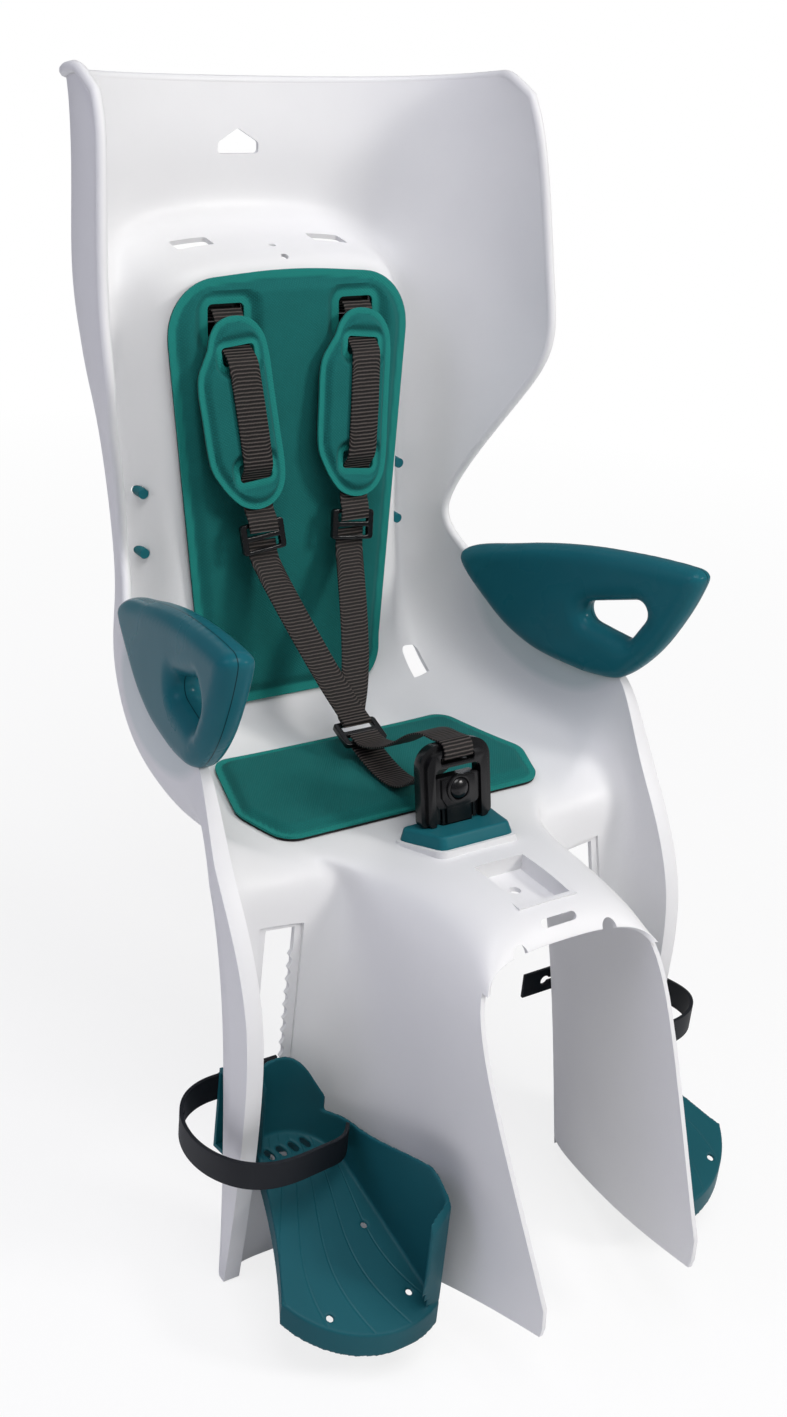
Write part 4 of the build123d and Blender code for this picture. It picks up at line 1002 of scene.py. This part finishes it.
    def cuts(self) -> list[Object]:
        """Everything that is cut from the thickened sheet."""
        upright = front_on((0, self.back_y + 60, self.back_z - 53))
        house = rounded([(-18, 0, 3), (18, 0, 3), (18, 8.5, 3), (0, 19, 3), (-18, 8.5, 3)], 6)
        heel_y = self.wall_y(-290) - 8
        trim = [(self.arch - 8, -20), (-171, -227), (-173.5, -232.5), (-171, -236), (heel_y, -290),
                (heel_y, -363), (-294, -363), (-294, -20)]
        side_on = plane((0, 0, 0), (0, 1, 0), (1, 0, 0))
        ledge_y = self.panel_y(self.ledge) + 44
        slot = opening((15, 3.2), 3.1, 6)
        foot = plane(BUCKLE_FOOT, (1, 0, 0), (0, math.sin(BUCKLE_LEAN), math.cos(BUCKLE_LEAN)))
        tools = [
            prism("guard_trim", trim, side_on, -160, 160),
            slab("pocket_room", (-21.5, 21.5), (-32, 22), (1.75, 60)),
            prism("hang_hole", house, upright, 0, 120),
            rod("screw_bore", 4.25, 40, Matrix.Identity(4)),
            rod("ledge_bore", 3, 40, Matrix.Translation((0, ledge_y - 18, self.ledge))),
            rod("panel_bore", 3, 40, plane((0, ledge_y - 30, self.ledge - 13), (1, 0, 0), (0, -0.7, 0.7))),
            prism("arch_slot", slot, plane((0, self.arch + 13, 3), (1, 0, 0), (0, -0.77, 0.64)), -15, 15),
            slab("neck_slot", (-13.5, 13.5), (-4, 4), (-30, 30), foot),
        ]
        for side in Side:
            s = side.value
            tools.append(slab("foot_slot", (-12, 12), (-20, 20), (-42, 145), side.flip @ self.slide()))
            for name, place, half, radius, reach in (
                    ("ledge_slot", Matrix.Translation((s * 60, ledge_y, self.ledge)), (15.5, 8.5), 2.5, 20),
                    ("strap_slot", front_on((s * STRAP_X, self.panel_y(STRAP_Z), STRAP_Z)), (15.5, 13), 3, 20),
                    ("lap_slot", front_on((s * 121, 335, 23.5)), (7.5, 13), 3.5, 40)):
                tools.append(prism(name, opening(half, radius, 5), place, -reach, reach))
            tools.append(rod("notch", 6, 40, front_on((s * 38.5, self.arch, self.saddle - 22))))
            for z in self.plug_heights:
                tools.append(rod("plug_bore", 4.3, 70, front_on((s * 118, self.panel_y(z) + 30, z))))
        return tools

    def build(self) -> Object:
        """Model the shell.

        Returns:
            The finished shell.
        """
        obj = self.sheet()
        bead = self.rim_bead(obj)
        modify(obj, "SOLIDIFY", thickness=self.lip * MM, offset=1.0, vertex_group="lip",
               thickness_vertex_group=self.wall / self.lip)
        obj.vertex_groups.clear()
        round_edges(obj, width=1.5, segments=3, angle=50)
        face_out(obj)
        carve(obj, self.rooms(), "DIFFERENCE")
        carve(obj, self.added(), "UNION")
        carve(obj, self.cuts(), "DIFFERENCE")
        carve(obj, self.teeth(), "UNION")
        activate(obj)
        bead.select_set(True)
        bpy.ops.object.join()
        obj.name = "moulded_shell"
        smooth(obj, 38)
        dress(obj, WHITE_SHELL, "seat", "shell_plastic", "shell")
        return obj


# Pads


@dataclass
class Pad:
    """Foam pad with a fabric face, pressed flat along its edge and round its holes."""

    name: str
    node: str
    outline: list[Flat]
    place: Matrix
    thick: float
    holes: list[list[Flat]] = field(default_factory=list)
    border: float = 6.0
    pressed: float = 4.0
    bevel: float = 9.0
    foam: float = 2.2
    crown: float = 1.2
    crown_reach: float = 45.0
    crease: float = 0.5
    crease_width: float = 1.6
    gap: float = 0.3
    step: float = 2.0
    under: BVHTree | None = None
    fade: float = 1000.0

    def inset(self, spots: np.ndarray) -> np.ndarray:
        """Distance in millimetres of points from the pad's nearest edge."""
        depth = distance_in(spots, self.outline)
        for hole in self.holes:
            depth = np.minimum(depth, -distance_in(spots, hole))
        return np.maximum(depth, 0)

    def heights(self, spots: np.ndarray) -> np.ndarray:
        """Height in millimetres of the fabric face over points of the pad's plane."""
        depth = self.inset(spots)
        rise = ease((depth - self.border) / self.bevel)
        crease = self.crease * np.exp(-((depth - self.border) / self.crease_width) ** 2)
        crown = self.crown * (1 - np.exp(-depth / self.crown_reach))
        return self.pressed + (self.thick - self.pressed) * rise - crease + crown

    def layer(self, name: str, outline: list[Flat], raised: bool) -> Object:
        """Closed layer of the pad over a fine grid, so that it can bend with what it lies on.

        Args:
            name: Object name.
            outline: Edge of the layer in the pad's plane.
            raised: Whether it is the fabric face with its relief, or the flat foam behind it.

        Returns:
            The layer, cut to its edge and holes.
        """
        obj, flat = cover(name, self.outline, self.step)
        bottom = np.full(len(flat), self.foam if raised else self.gap)
        top = self.heights(flat) if raised else np.full(len(flat), self.foam)
        modify(obj, "SOLIDIFY", thickness=self.thick * MM, offset=-1.0)
        local = np.vstack([np.column_stack([flat, top]), np.column_stack([flat, bottom])])
        place_points(obj, moved(local, self.place))
        face_out(obj)
        below, above = -5, 30
        carve(obj, [prism("edge_trim", outline, self.place, below, self.thick + 8)], "INTERSECT")
        carve(obj, [prism("hole", hole, self.place, below, above) for hole in self.holes], "DIFFERENCE")
        return obj

    def build(self) -> Object:
        """Model the face of the pad and its foam backing.

        Returns:
            The fabric face; its foam backing rides on the same body.
        """
        obj = self.layer(self.name, self.outline, True)
        smooth(obj, 40)
        flat = moved(points_of(obj), self.place.inverted())[:, :2]
        blur = 1.5
        mark(obj, "pressed", 1 - ease((self.inset(flat) - self.border + 1) / blur))
        set_uv(obj, flat * MM)
        dress(obj, PAD, "seat", "pad_fabric", self.node)
        ring = np.array(self.outline)
        centre = ring.mean(axis=0)
        shrink = 0.995
        inner = [tuple(centre + (p - centre) * shrink) for p in ring]
        backing = self.layer(self.name + "_foam", inner, False)
        if self.under:
            settle(obj, self.place, self.under, self.fade)
            settle(backing, self.place, self.under, self.fade)
        smooth(backing, 30)
        dress(backing, FOAM, "seat", "black_plastic")
        return obj


@dataclass
class Cushions:
    """Back pad, seat pad and the two shoulder pads."""

    shell: Shell
    under: BVHTree
    lean: float = 0.228
    pull: float = 0.103
    stand: float = 13.0

    def on_harness(self, side: Side, down: float, out: float) -> Vector:
        """Point on a shoulder strap: distance down from its slot and out from its plane."""
        length = math.hypot(1, self.lean)
        start = Vector((side.value * STRAP_X, self.shell.panel_y(STRAP_Z) - self.stand, STRAP_Z))
        along = Vector((-side.value * self.pull, -self.lean / length, -1 / length))
        normal = Vector((0, -1 / length, self.lean / length))
        return start + along * down + normal * out

    def harness_plane(self, side: Side, down: float) -> Matrix:
        """Frame on a shoulder strap with its Y axis up the strap."""
        origin = self.on_harness(side, down, 0)
        up = (self.on_harness(side, 0, 0) - self.on_harness(side, 1, 0)).normalized()
        normal = (self.on_harness(side, 0, 1) - self.on_harness(side, 0, 0)).normalized()
        return plane(origin, up.cross(normal), normal)

    def back(self) -> None:
        """Pad on the raised panel, with a pressed ring round each strap hole."""
        slope = math.atan(self.shell.panel_lean)
        rise = 1 / math.cos(slope)
        place = plane((0, self.shell.panel_foot[0], self.shell.panel_foot[1]), (1, 0, 0),
                      (0, -math.cos(slope), math.sin(slope)))
        half = 105.5
        low, wide, top = 3 * rise, 287 * rise, 335 * rise
        outline = rounded([(-half + 24, low, 28), (half - 24, low, 28), (half, wide, 60), (half - 1, top - 5, 42),
                           (0, top + 3, 500), (1 - half, top - 5, 42), (-half, wide, 60)], 12)
        hole_y = (STRAP_Z - self.shell.panel_foot[1]) * rise
        holes = [opening((15.5, 13), 4, 5, (side.value * STRAP_X, hole_y)) for side in Side]
        Pad("back_pad_cover", "back_pad", outline, place, 9.0, holes, under=self.under, fade=40.0).build()

    def seat(self) -> None:
        """Pad on the pan."""
        place = Matrix.Translation((0, 0, 3.4))
        outline = rounded([(-108, 245.5, 18), (-131, 165, 26), (-115, 120, 20), (115, 120, 20), (131, 165, 26),
                           (108, 245.5, 18)], 12)
        Pad("seat_pad_cover", "seat_pad", outline[::-1], place, 8.0, border=5.0, bevel=7.0,
            under=self.under).build()

    def shoulder(self, side: Side) -> None:
        """Pad on a shoulder strap, broader in the middle, with two cross slots."""
        middle = 66.0
        place = self.harness_plane(side, middle)
        knots = [(0, 73), (14, 69), (23, 58), (26, 42), (26, 14), (26, -14), (26, -42), (23, -58), (14, -69),
                 (0, -73), (-14, -69), (-24, -59), (-31, -48), (-36, -37), (-37.5, -23), (-37.5, 0), (-37.5, 20),
                 (-35.5, 33), (-30, 43), (-25, 51), (-21, 61), (-13, 70)]
        outline = smooth_ring(knots, 6)[::-1]
        holes = [opening((14, 7), 3, 4, (0, middle - down)) for down in (22, 110)]
        name = "shoulder_pad_" + side.label
        Pad(name + "_cover", name, outline, place, 7.6, holes, border=4.5, bevel=5.0, step=1.4, foam=1.6,
            pressed=3.6, crown=0.8).build()

    def build(self) -> None:
        """Model all the pads."""
        self.back()
        self.seat()
        for side in Side:
            self.shoulder(side)


# Straps


@dataclass
class Strap:
    """Flat band along a route, wide along one direction."""

    name: str
    nodes: tuple
    route: list[Vector]
    finish: Finish
    slot: str
    body: str = "seat"
    width: float = 25.0
    thick: float = 1.6
    across: Point = (1.0, 0.0, 0.0)

    def build(self) -> Object:
        """Model the band, with a UV map in metres along it.

        Returns:
            The band.
        """
        route = np.array([tuple(p) for p in self.route])
        columns = 5
        obj, spots = grid(self.name, columns, len(route))
        shares = spots[:, 0] / (columns - 1) - 0.5
        place_points(obj, route[spots[:, 1]] + np.outer(shares * self.width, self.across))
        run = np.concatenate([[0], np.cumsum(np.linalg.norm(np.diff(route, axis=0), axis=1))])
        set_uv(obj, np.column_stack([shares * self.width, run[spots[:, 1]]]) * MM)
        refine(obj)
        modify(obj, "SOLIDIFY", thickness=self.thick * MM, offset=0.0)
        round_edges(obj, width=0.35, segments=2, angle=50)
        face_out(obj)
        smooth(obj, 50)
        dress(obj, self.finish, self.body, self.slot, *self.nodes)
        return obj


@dataclass
class Harness:
    """Webbing, adjusters, centre slide and buckle."""

    pads: Cushions
    adjuster: float = 161.0
    slide_y: float = 206.0
    slide_z: float = 30.0
    slide_turn: float = math.radians(20)
    slide_gap: float = 3.35
    lap: float = 1.9
    behind: float = -4.45
    sag: float = 10.0

    def junction(self, along: float, out: float) -> Vector:
        """Point at the centre slide: distance back along it and out of it."""
        cos, sin = math.cos(self.slide_turn), math.sin(self.slide_turn)
        return Vector((0, self.slide_y + along * cos - out * sin, self.slide_z + along * sin + out * cos))

    def on_buckle(self, up: float, out: float) -> Vector:
        """Point in the middle of the buckle, up it and out of its face."""
        x, y, z = BUCKLE_FOOT
        cos, sin = math.cos(BUCKLE_LEAN), math.sin(BUCKLE_LEAN)
        return Vector((x, y + up * sin - out * cos, z + up * cos + out * sin))

    def web(self, node: str, route: list[Vector]) -> None:
        """Webbing along a route, in place of a CAD node."""
        Strap(node + "_webbing", (node,), route, WEBBING, "webbing").build()

    def shoulder(self, side: Side) -> None:
        """Strap from behind the panel, through the shoulder pad, to the adjuster."""
        end = self.adjuster
        face = self.pads.shell.panel_y(STRAP_Z)
        over = [(5.5, -0.7), (3.5, 0), (2, 7), (-2, 10), (-6, 7), (-9.5, 0)]
        along = [(7, -1.4), (14, -1.2), (19, 2), (25, 9.4), (34, 9.6), (66, 10.5), (98, 9.6), (107, 9.4), (113, 2),
                 (118, -1.2), (end - 21, -1.2), (end - 17, 1.2), (end - 13, 3.0), (end - 4, 3.0)]
        route = [Vector((side.value * STRAP_X, face + back, STRAP_Z + up)) for back, up in over]
        route += [self.pads.on_harness(side, down, out) for down, out in along]
        self.web("shoulder_strap_" + side.label, route)

    def lower(self, side: Side) -> None:
        """Strap from an adjuster down to the centre slide, one above the other there."""
        lap = self.lap if side is Side.RIGHT else 0
        above = self.slide_gap + lap
        start = self.pads.on_harness(side, self.adjuster + 20, self.behind)
        end = self.junction(17, above)
        sag = Vector((0, -self.sag, lap - self.sag))
        first = self.pads.on_harness(side, self.adjuster + 3, self.behind)
        route = [first, mix(first, start, 0.6), start, mix(start, end, 0.35) + sag, mix(start, end, 0.7) + sag,
                 mix(start, end, 0.93) + sag * 0.3, end, self.junction(11, above), self.junction(5, above)]
        self.web("lower_strap_" + side.label, route)

    def loop(self) -> None:
        """Loop from the centre slide under and up through the buckle, over its top bar and back."""
        top = 63.1
        rise = [(40, -14), (48, -9), (50.5, -5), (50.5, 0), (50.5, 6.6), (53, 8.2), (58, 8.2), (top, 5.6),
                (top + 0.6, 0), (top, -8)]
        route = [self.junction(along, -self.slide_gap) for along in (-4, -20)]
        route += [Vector((0, y, z)) for y, z in ((168, 15.5), (150, 14.8), (128, 20))]
        route += [self.on_buckle(up, out) for up, out in rise]
        route += [Vector((0, y, z)) for y, z in ((112, 76), (130, 66), (150, 46))]
        route += [self.junction(along, out) for along, out in ((-28, 13), (-15, 4.0), (-4, self.slide_gap))]
        self.web("buckle_loop", route)

    def hardware(self) -> None:
        """Adjusters, centre slide and the pillow at the buckle's foot, with moulded edges."""
        for node, finish, slot, voxel, rounds in (
                ("strap_adjuster_left", BLACK, "black_plastic", 0.55, 4),
                ("strap_adjuster_right", BLACK, "black_plastic", 0.55, 4),
                ("centre_slide", BLACK, "black_plastic", 0.55, 4),
                ("buckle_base", TEAL, "teal_plastic", 0.9, 14)):
            obj = cast_of(node, node + "_moulding")
            soften(obj, voxel, rounds)
            dress(obj, finish, "seat", slot, node)

    def build(self) -> None:
        """Model the whole harness."""
        for side in Side:
            self.shoulder(side)
            self.lower(side)
        self.loop()
        self.hardware()


@dataclass
class Buckle:
    """Stepped frame that drops over a post with a ringed, domed button."""

    button: float = 28.0
    button_radius: float = 8.0
    front: float = 7.0
    back: float = -4.5

    def place(self) -> Matrix:
        """Frame with X across the buckle, Y up it and Z out of its face."""
        return plane(BUCKLE_FOOT, (1, 0, 0), (0, -math.cos(BUCKLE_LEAN), math.sin(BUCKLE_LEAN)))

    def spot(self, up: float, out: float) -> Matrix:
        """Frame in the middle of the buckle at a height and a distance out."""
        return self.place() @ Matrix.Translation((0, up, out))

    def block(self, half: float, low: float, high: float, radii: Flat, steps: int) -> list[Flat]:
        """Outline between two heights, with the radii of its lower and upper corners."""
        foot, top = radii
        return rounded([(-half, low, foot), (half, low, foot), (half, high, top), (-half, high, top)], steps)

    def frame(self) -> None:
        """Arched frame with thick sides and a raised face round its window."""
        place = self.place()
        obj = prism("buckle_frame_moulding", self.block(31, 2, 62, (5, 16), 10), place, self.back, 3)
        face = self.block(26.5, 2, 57.5, (4, 13), 10)
        carve(obj, [prism("face", face, place, 0, 6.5)], "UNION")
        window = self.block(20, -12, 44.5, (1, 5), 6)
        slot = self.block(15, 47.5, 53.5, (2, 2), 5)
        carve(obj, [prism("window", window, place, -20, 20), prism("slot", slot, place, -20, 20)], "DIFFERENCE")
        self.finish(obj, "seat", "buckle_frame")

    def post(self) -> None:
        """Post with the button's housing, its stepped foot and the flange below the shell."""
        place = self.place()
        house = self.block(19.4, 14, 37.5, (6, 3), 6)
        obj = prism("buckle_post_moulding", house, place, self.back, 5)
        hexagon = [(-10, 15), (10, 15), (14.5, 22), (14.5, 36), (-14.5, 36), (-14.5, 22)]
        carve(obj, [
            prism("panel", hexagon, place, 0, self.front - 0.5),
            slab("foot", (-13, 13), (-17.5, 16), (-3.5, 3.5), place),
            slab("plate", (-10, 10), (2.5, 16), (0, 5.4), place),
            slab("prong", (-19.2, -14.5), (3, 16), (-3, 3), place),
            slab("prong", (14.5, 19.2), (3, 16), (-3, 3), place),
            slab("flange", (-22, 22), (-17.5, -14.5), (-10, 10), place),
            rod("ring", self.button_radius + 2.6, 6, self.spot(self.button, self.front - 2)),
        ], "UNION")
        carve(obj, [rod("bore", self.button_radius + 0.4, 26, self.spot(self.button, 10))], "DIFFERENCE")
        self.finish(obj, "seat", "buckle_post")

    def release(self) -> None:
        """Domed button."""
        deselect()
        bpy.ops.mesh.primitive_uv_sphere_add(segments=48, ring_count=24, radius=self.button_radius)
        obj = bpy.context.object
        obj.name = "buckle_button_moulding"
        squash = Matrix.Diagonal((1, 1, 0.5, 1))
        obj.data.transform(Matrix.Scale(MM, 4) @ self.spot(self.button, self.front - 0.4) @ squash)
        stem = rod("stem", self.button_radius - 0.02, 5.4, self.spot(self.button, self.front - 3.1))
        carve(obj, [stem], "UNION")
        self.finish(obj, "buckle_button", "buckle_button")

    def finish(self, obj: Object, body: str, node: str) -> None:
        """Round the edges of a piece and dress it."""
        round_edges(obj, width=0.8, segments=3, angle=40)
        smooth(obj, 40)
        dress(obj, BLACK, body, "black_plastic", node)

    def build(self) -> None:
        """Model the buckle."""
        self.frame()
        self.post()
        self.release()


# Armrests and footrests


@dataclass
class Armrest:
    """Armrest with crowned sides, rounded all round and open at the finger hole."""

    x: float = 195.0
    y: float = 60.0
    inner: float = 12.0
    outer: float = 15.0
    turn: float = 10.0
    edge: float = 12.0
    edge_share: float = 0.16
    hole_edge: float = 15.0
    step: float = 1.7
    reach: float = 40.0

    def place(self) -> Matrix:
        """Frame with X along the armrest, Y up and Z outwards."""
        about = Matrix.Translation((self.x, self.y, 0))
        upright = Matrix(((0, 0, 1, 0), (1, 0, 0, 0), (0, 1, 0, 0), (0, 0, 0, 1)))
        return about @ Matrix.Rotation(math.radians(self.turn), 4, "Z") @ upright

    def outline(self) -> list[Flat]:
        """Side outline, from the rear tip over the crest, round the nose and back below."""
        knots = [(240, 127), (182, 153), (120, 172), (60, 184), (12, 190), (1.5, 188), (-1, 181), (10, 150),
                 (30, 113), (56, 84), (79, 76), (110, 73), (154, 75), (197, 91)]
        return smooth_ring(knots, 8)

    def hole(self) -> list[Flat]:
        """Finger hole, a rounded triangle."""
        return rounded([(136, 119, 9), (31, 158, 9), (56, 114, 9)], 10)

    def side_block(self, name: str, height: float, flip: bool) -> Object:
        """Solid below one crowned side of the armrest.

        Args:
            name: Object name.
            height: Reach of the side from the middle plane.
            flip: Whether it is the inner side.

        Returns:
            Closed mesh.
        """
        obj, flat = cover(name, self.outline(), self.step)
        depth = np.maximum(distance_in(flat, self.outline()), 0)
        inside = np.maximum(-distance_in(flat, self.hole()), 0)
        share = np.minimum(np.clip(depth / self.edge, 0, 1), np.clip(inside / self.hole_edge, 0, 1))
        crown = height * (self.edge_share + (1 - self.edge_share) * np.sqrt(1 - (1 - share) ** 2))
        place_points(obj, moved(np.column_stack([flat, -crown if flip else crown]), self.place()))
        modify(obj, "SOLIDIFY", thickness=(self.inner + self.outer + 20) * MM, offset=1.0 if flip else -1.0)
        face_out(obj)
        return obj

    def build(self) -> None:
        """Model the left armrest and its mirror image."""
        obj = self.side_block("armrest_left_moulding", self.outer, False)
        other = self.side_block("inner_side", self.inner, True)
        carve(obj, [other, prism("outline", self.outline(), self.place(), -self.reach, self.reach)], "INTERSECT")
        carve(obj, [prism("finger_hole", self.hole(), self.place(), -self.reach, self.reach)], "DIFFERENCE")
        soften(obj, voxel=1.4, rounds=22)
        twin = mirrored(obj, "armrest_right_moulding")
        for piece, side in zip((obj, twin), Side):
            halves = ["armrest_inner_" + side.label, "armrest_outer_" + side.label]
            dress(piece, ARM_TEAL, "seat", "arm_plastic", *halves)


@dataclass
class Footrest:
    """Footrest tray and its rubber strap."""

    strap_z: float = -184.0
    strap_width: float = 22.0
    strap_thick: float = 2.8
    front_lift: float = 12.0
    wall_x: float = 118.0
    toe_round: float = 40.0
    stud_y: float = 108.4
    eye: float = 4.4
    neck_half: float = 2.0

    def tray(self) -> None:
        """Left tray with moulded edges, and its mirror image."""
        obj = cast_of("footrest_left", "footrest_left_moulding")
        points = points_of(obj)
        wall = points[(points[:, 0] < self.wall_x) & (points[:, 2] > self.strap_z)]
        front, top, radius = wall[:, 1].min(), wall[:, 2].max(), self.toe_round
        turns = [math.radians(a) for a in range(180, 89, -6)]
        corner = [(front + radius + radius * math.cos(a), top - radius + radius * math.sin(a)) for a in turns]
        past = 15
        corner += [(front + radius, top + past), (front - past, top + past), (front - past, top - radius)]
        carve(obj, [prism("corner", corner, plane((0, 0, 0), (0, 1, 0), (1, 0, 0)), 80, 150)], "DIFFERENCE")
        soften(obj, voxel=1.0, rounds=8)
        twin = mirrored(obj, "footrest_right_moulding")
        for piece, side in zip((obj, twin), Side):
            dress(piece, FOOT_TEAL, "footrest_" + side.label, "teal_plastic", "footrest_" + side.label)

    def strap(self, side: Side) -> None:
        """Strap from the inner wall, over the instep, round the rail to the stud."""
        s = side.value
        flat = [(111.5, 18), (118, 9), (130, 0), (150, -7), (176, -10), (200, -4), (216, 14), (220, 42), (217, 70),
                (209, 90), (196, 103), *((x, self.stud_y) for x in (180, 168, 150, 134, 118))]
        lift = [self.front_lift * float(ease((x - 112) / 40) * (1 - ease((y - 5) / 65))) for x, y in flat]
        route = [Vector((s * x, y, self.strap_z + rise)) for (x, y), rise in zip(flat, lift)]
        name = "foot_strap_" + side.label
        obj = Strap(name + "_rubber", (name,), route, RUBBER, "strap_rubber", "footrest_" + side.label,
                    self.strap_width, self.strap_thick, (0.0, 0.0, 1.0)).build()
        holes = []
        eyes = [(211, 86, (0.85, 0.5)), (161, self.stud_y, (0, 1)), (140, self.stud_y, (0, 1))]
        for x, y, normal in eyes:
            out = (s * normal[0], normal[1], 0)
            place = plane((s * x, y, self.strap_z), Vector(out).cross((0, 0, 1)), out)
            holes.append(rod("eye", self.eye, 20, place))
            holes.append(slab("neck", (0, 10), (-self.neck_half, self.neck_half), (-10, 10), place))
        carve(obj, holes, "DIFFERENCE")
        smooth(obj, 40)

    def build(self) -> None:
        """Model both footrests and straps."""
        self.tray()
        for side in Side:
            self.strap(side)


# Studio


@dataclass
class Studio:
    """Pale floor, soft light and the camera; the eye is in millimetres, the rest of the studio in metres."""

    eye: Point = (-700.0, -796.924, 638.528)
    right: Point = (0.8293302516, -0.5518794964, 0.0874091252)
    down: Point = (-0.1745198667, -0.4044480919, -0.8977552880)
    lens: float = 44.58
    aim: Point = (0.0, 0.15, 0.1)
    floor_size: float = 80.0
    floor_gap: float = 0.001
    fade: Flat = (0.6, 2.2)
    fade_share: Flat = (0.8, 1.0)

    def camera(self) -> None:
        """Camera at the photograph's place and angle."""
        data = bpy.data.cameras.new("camera")
        data.lens = self.lens
        data.sensor_fit = "VERTICAL"
        data.sensor_height = 36.0
        data.clip_end = 50
        obj = new_object("camera", data)
        right = Vector(self.right)
        up = -Vector(self.down)
        turn = Matrix((right, up, right.cross(up))).transposed().to_4x4()
        obj.matrix_world = Matrix.Translation(Vector(self.eye) * MM) @ turn
        bpy.context.scene.camera = obj

    def lamp(self, name: str, spot: Point, size: float, power: float, colour: str) -> None:
        """Square soft light that faces the seat.

        Args:
            name: Lamp name.
            spot: Place in metres.
            size: Side length in metres.
            power: Watts.
            colour: sRGB hex colour.
        """
        data = bpy.data.lights.new(name, "AREA")
        data.size = size
        data.energy = power
        data.color = linear(colour)[:3]
        obj = new_object(name, data)
        aim = Vector(self.aim) - Vector(spot)
        obj.matrix_world = Matrix.Translation(spot) @ aim.to_track_quat("-Z", "Y").to_matrix().to_4x4()

    def backdrop(self) -> None:
        """World that is white to the eye and gives an even fill."""
        world = bpy.data.worlds.new("studio")
        world.use_nodes = True
        bpy.context.scene.world = world
        tree = world.node_tree
        tree.nodes.clear()
        path = add_node(tree, "ShaderNodeLightPath").outputs
        seen = maths(tree, "MAXIMUM", path["Is Camera Ray"], path["Is Transmission Ray"])
        fill = add_node(tree, "ShaderNodeBackground", {"Color": linear("EEF0F4"), "Strength": 0.25})
        white = add_node(tree, "ShaderNodeBackground", {"Color": (1, 1, 1, 1), "Strength": 1.0})
        both = add_node(tree, "ShaderNodeMixShader", None, {0: seen, 1: fill.outputs[0], 2: white.outputs[0]})
        add_node(tree, "ShaderNodeOutputWorld", None, {0: both.outputs[0]})

    def floor(self) -> None:
        """Floor of white paper just below the seat, which fades into the white of the world."""
        deselect()
        bpy.ops.mesh.primitive_grid_add(x_subdivisions=4, y_subdivisions=4, size=self.floor_size)
        floor = bpy.context.object
        floor.name = "floor"
        floor.data.transform(Matrix.Translation((0, 0, CAD_BOX[0][2] - self.floor_gap)))
        paper = bpy.data.materials.new("matt_paper_white")
        paper.use_nodes = True
        tree = paper.node_tree
        shader = tree.nodes["Principled BSDF"]
        shader.inputs["Base Color"].default_value = linear("F2F2F4")
        shader.inputs["Roughness"].default_value = 0.9
        glow = add_node(tree, "ShaderNodeEmission", {"Color": (1, 1, 1, 1), "Strength": 1.0})
        spot = add_node(tree, "ShaderNodeTexCoord").outputs["Object"]
        far = length(tree, spot)
        seen = add_node(tree, "ShaderNodeLightPath").outputs["Is Camera Ray"]
        share = maths(tree, "MULTIPLY", seen, ramp(tree, far, *self.fade, *self.fade_share))
        both = add_node(tree, "ShaderNodeMixShader", None, {0: share, 1: shader.outputs[0], 2: glow.outputs[0]})
        tree.links.new(both.outputs[0], tree.nodes["Material Output"].inputs["Surface"])
        floor.data.materials.append(paper)
        floor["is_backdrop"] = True

    def build(self) -> None:
        """Set up the studio."""
        self.camera()
        self.backdrop()
        self.floor()
        self.lamp("key", (1.9, -2.3, 2.1), 0.8, 60, "FFFCF8")
        self.lamp("top", (-0.4, -1.3, 4.0), 2.4, 96, "FFFFFF")
        self.lamp("left", (-2.3, 0.3, 2.0), 1.4, 18, "DCD9F4")
        bpy.context.scene.view_settings.view_transform = "Standard"


def dress_nodes() -> None:
    """Give the CAD nodes that stay their finishes."""
    finishes = {"side_plugs": TEAL, "armrest_screws": STEEL, "button_spring": STEEL}
    for side in Side:
        finishes |= {"strap_anchor_" + side.label: BLACK, "footrest_bracket_" + side.label: TEAL,
                     "footrest_latch_" + side.label: TEAL, "latch_pin_" + side.label: STEEL}
    for node, finish in finishes.items():
        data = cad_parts[node].data
        data.materials.clear()
        data.materials.append(finish.material())
        log.info("%s: %s", node, finish.name)


def main() -> None:
    """Build the studio and every piece."""
    logging.basicConfig(level=logging.INFO, format="%(name)s %(message)s")
    Studio().build()
    shell = Shell()
    piece = shell.build()
    pads = Cushions(shell, BVHTree.FromObject(piece, bpy.context.evaluated_depsgraph_get()))
    pads.build()
    Harness(pads).build()
    Buckle().build()
    Armrest().build()
    Footrest().build()
    dress_nodes()
    deselect()


if __name__ == "__main__":
    main()
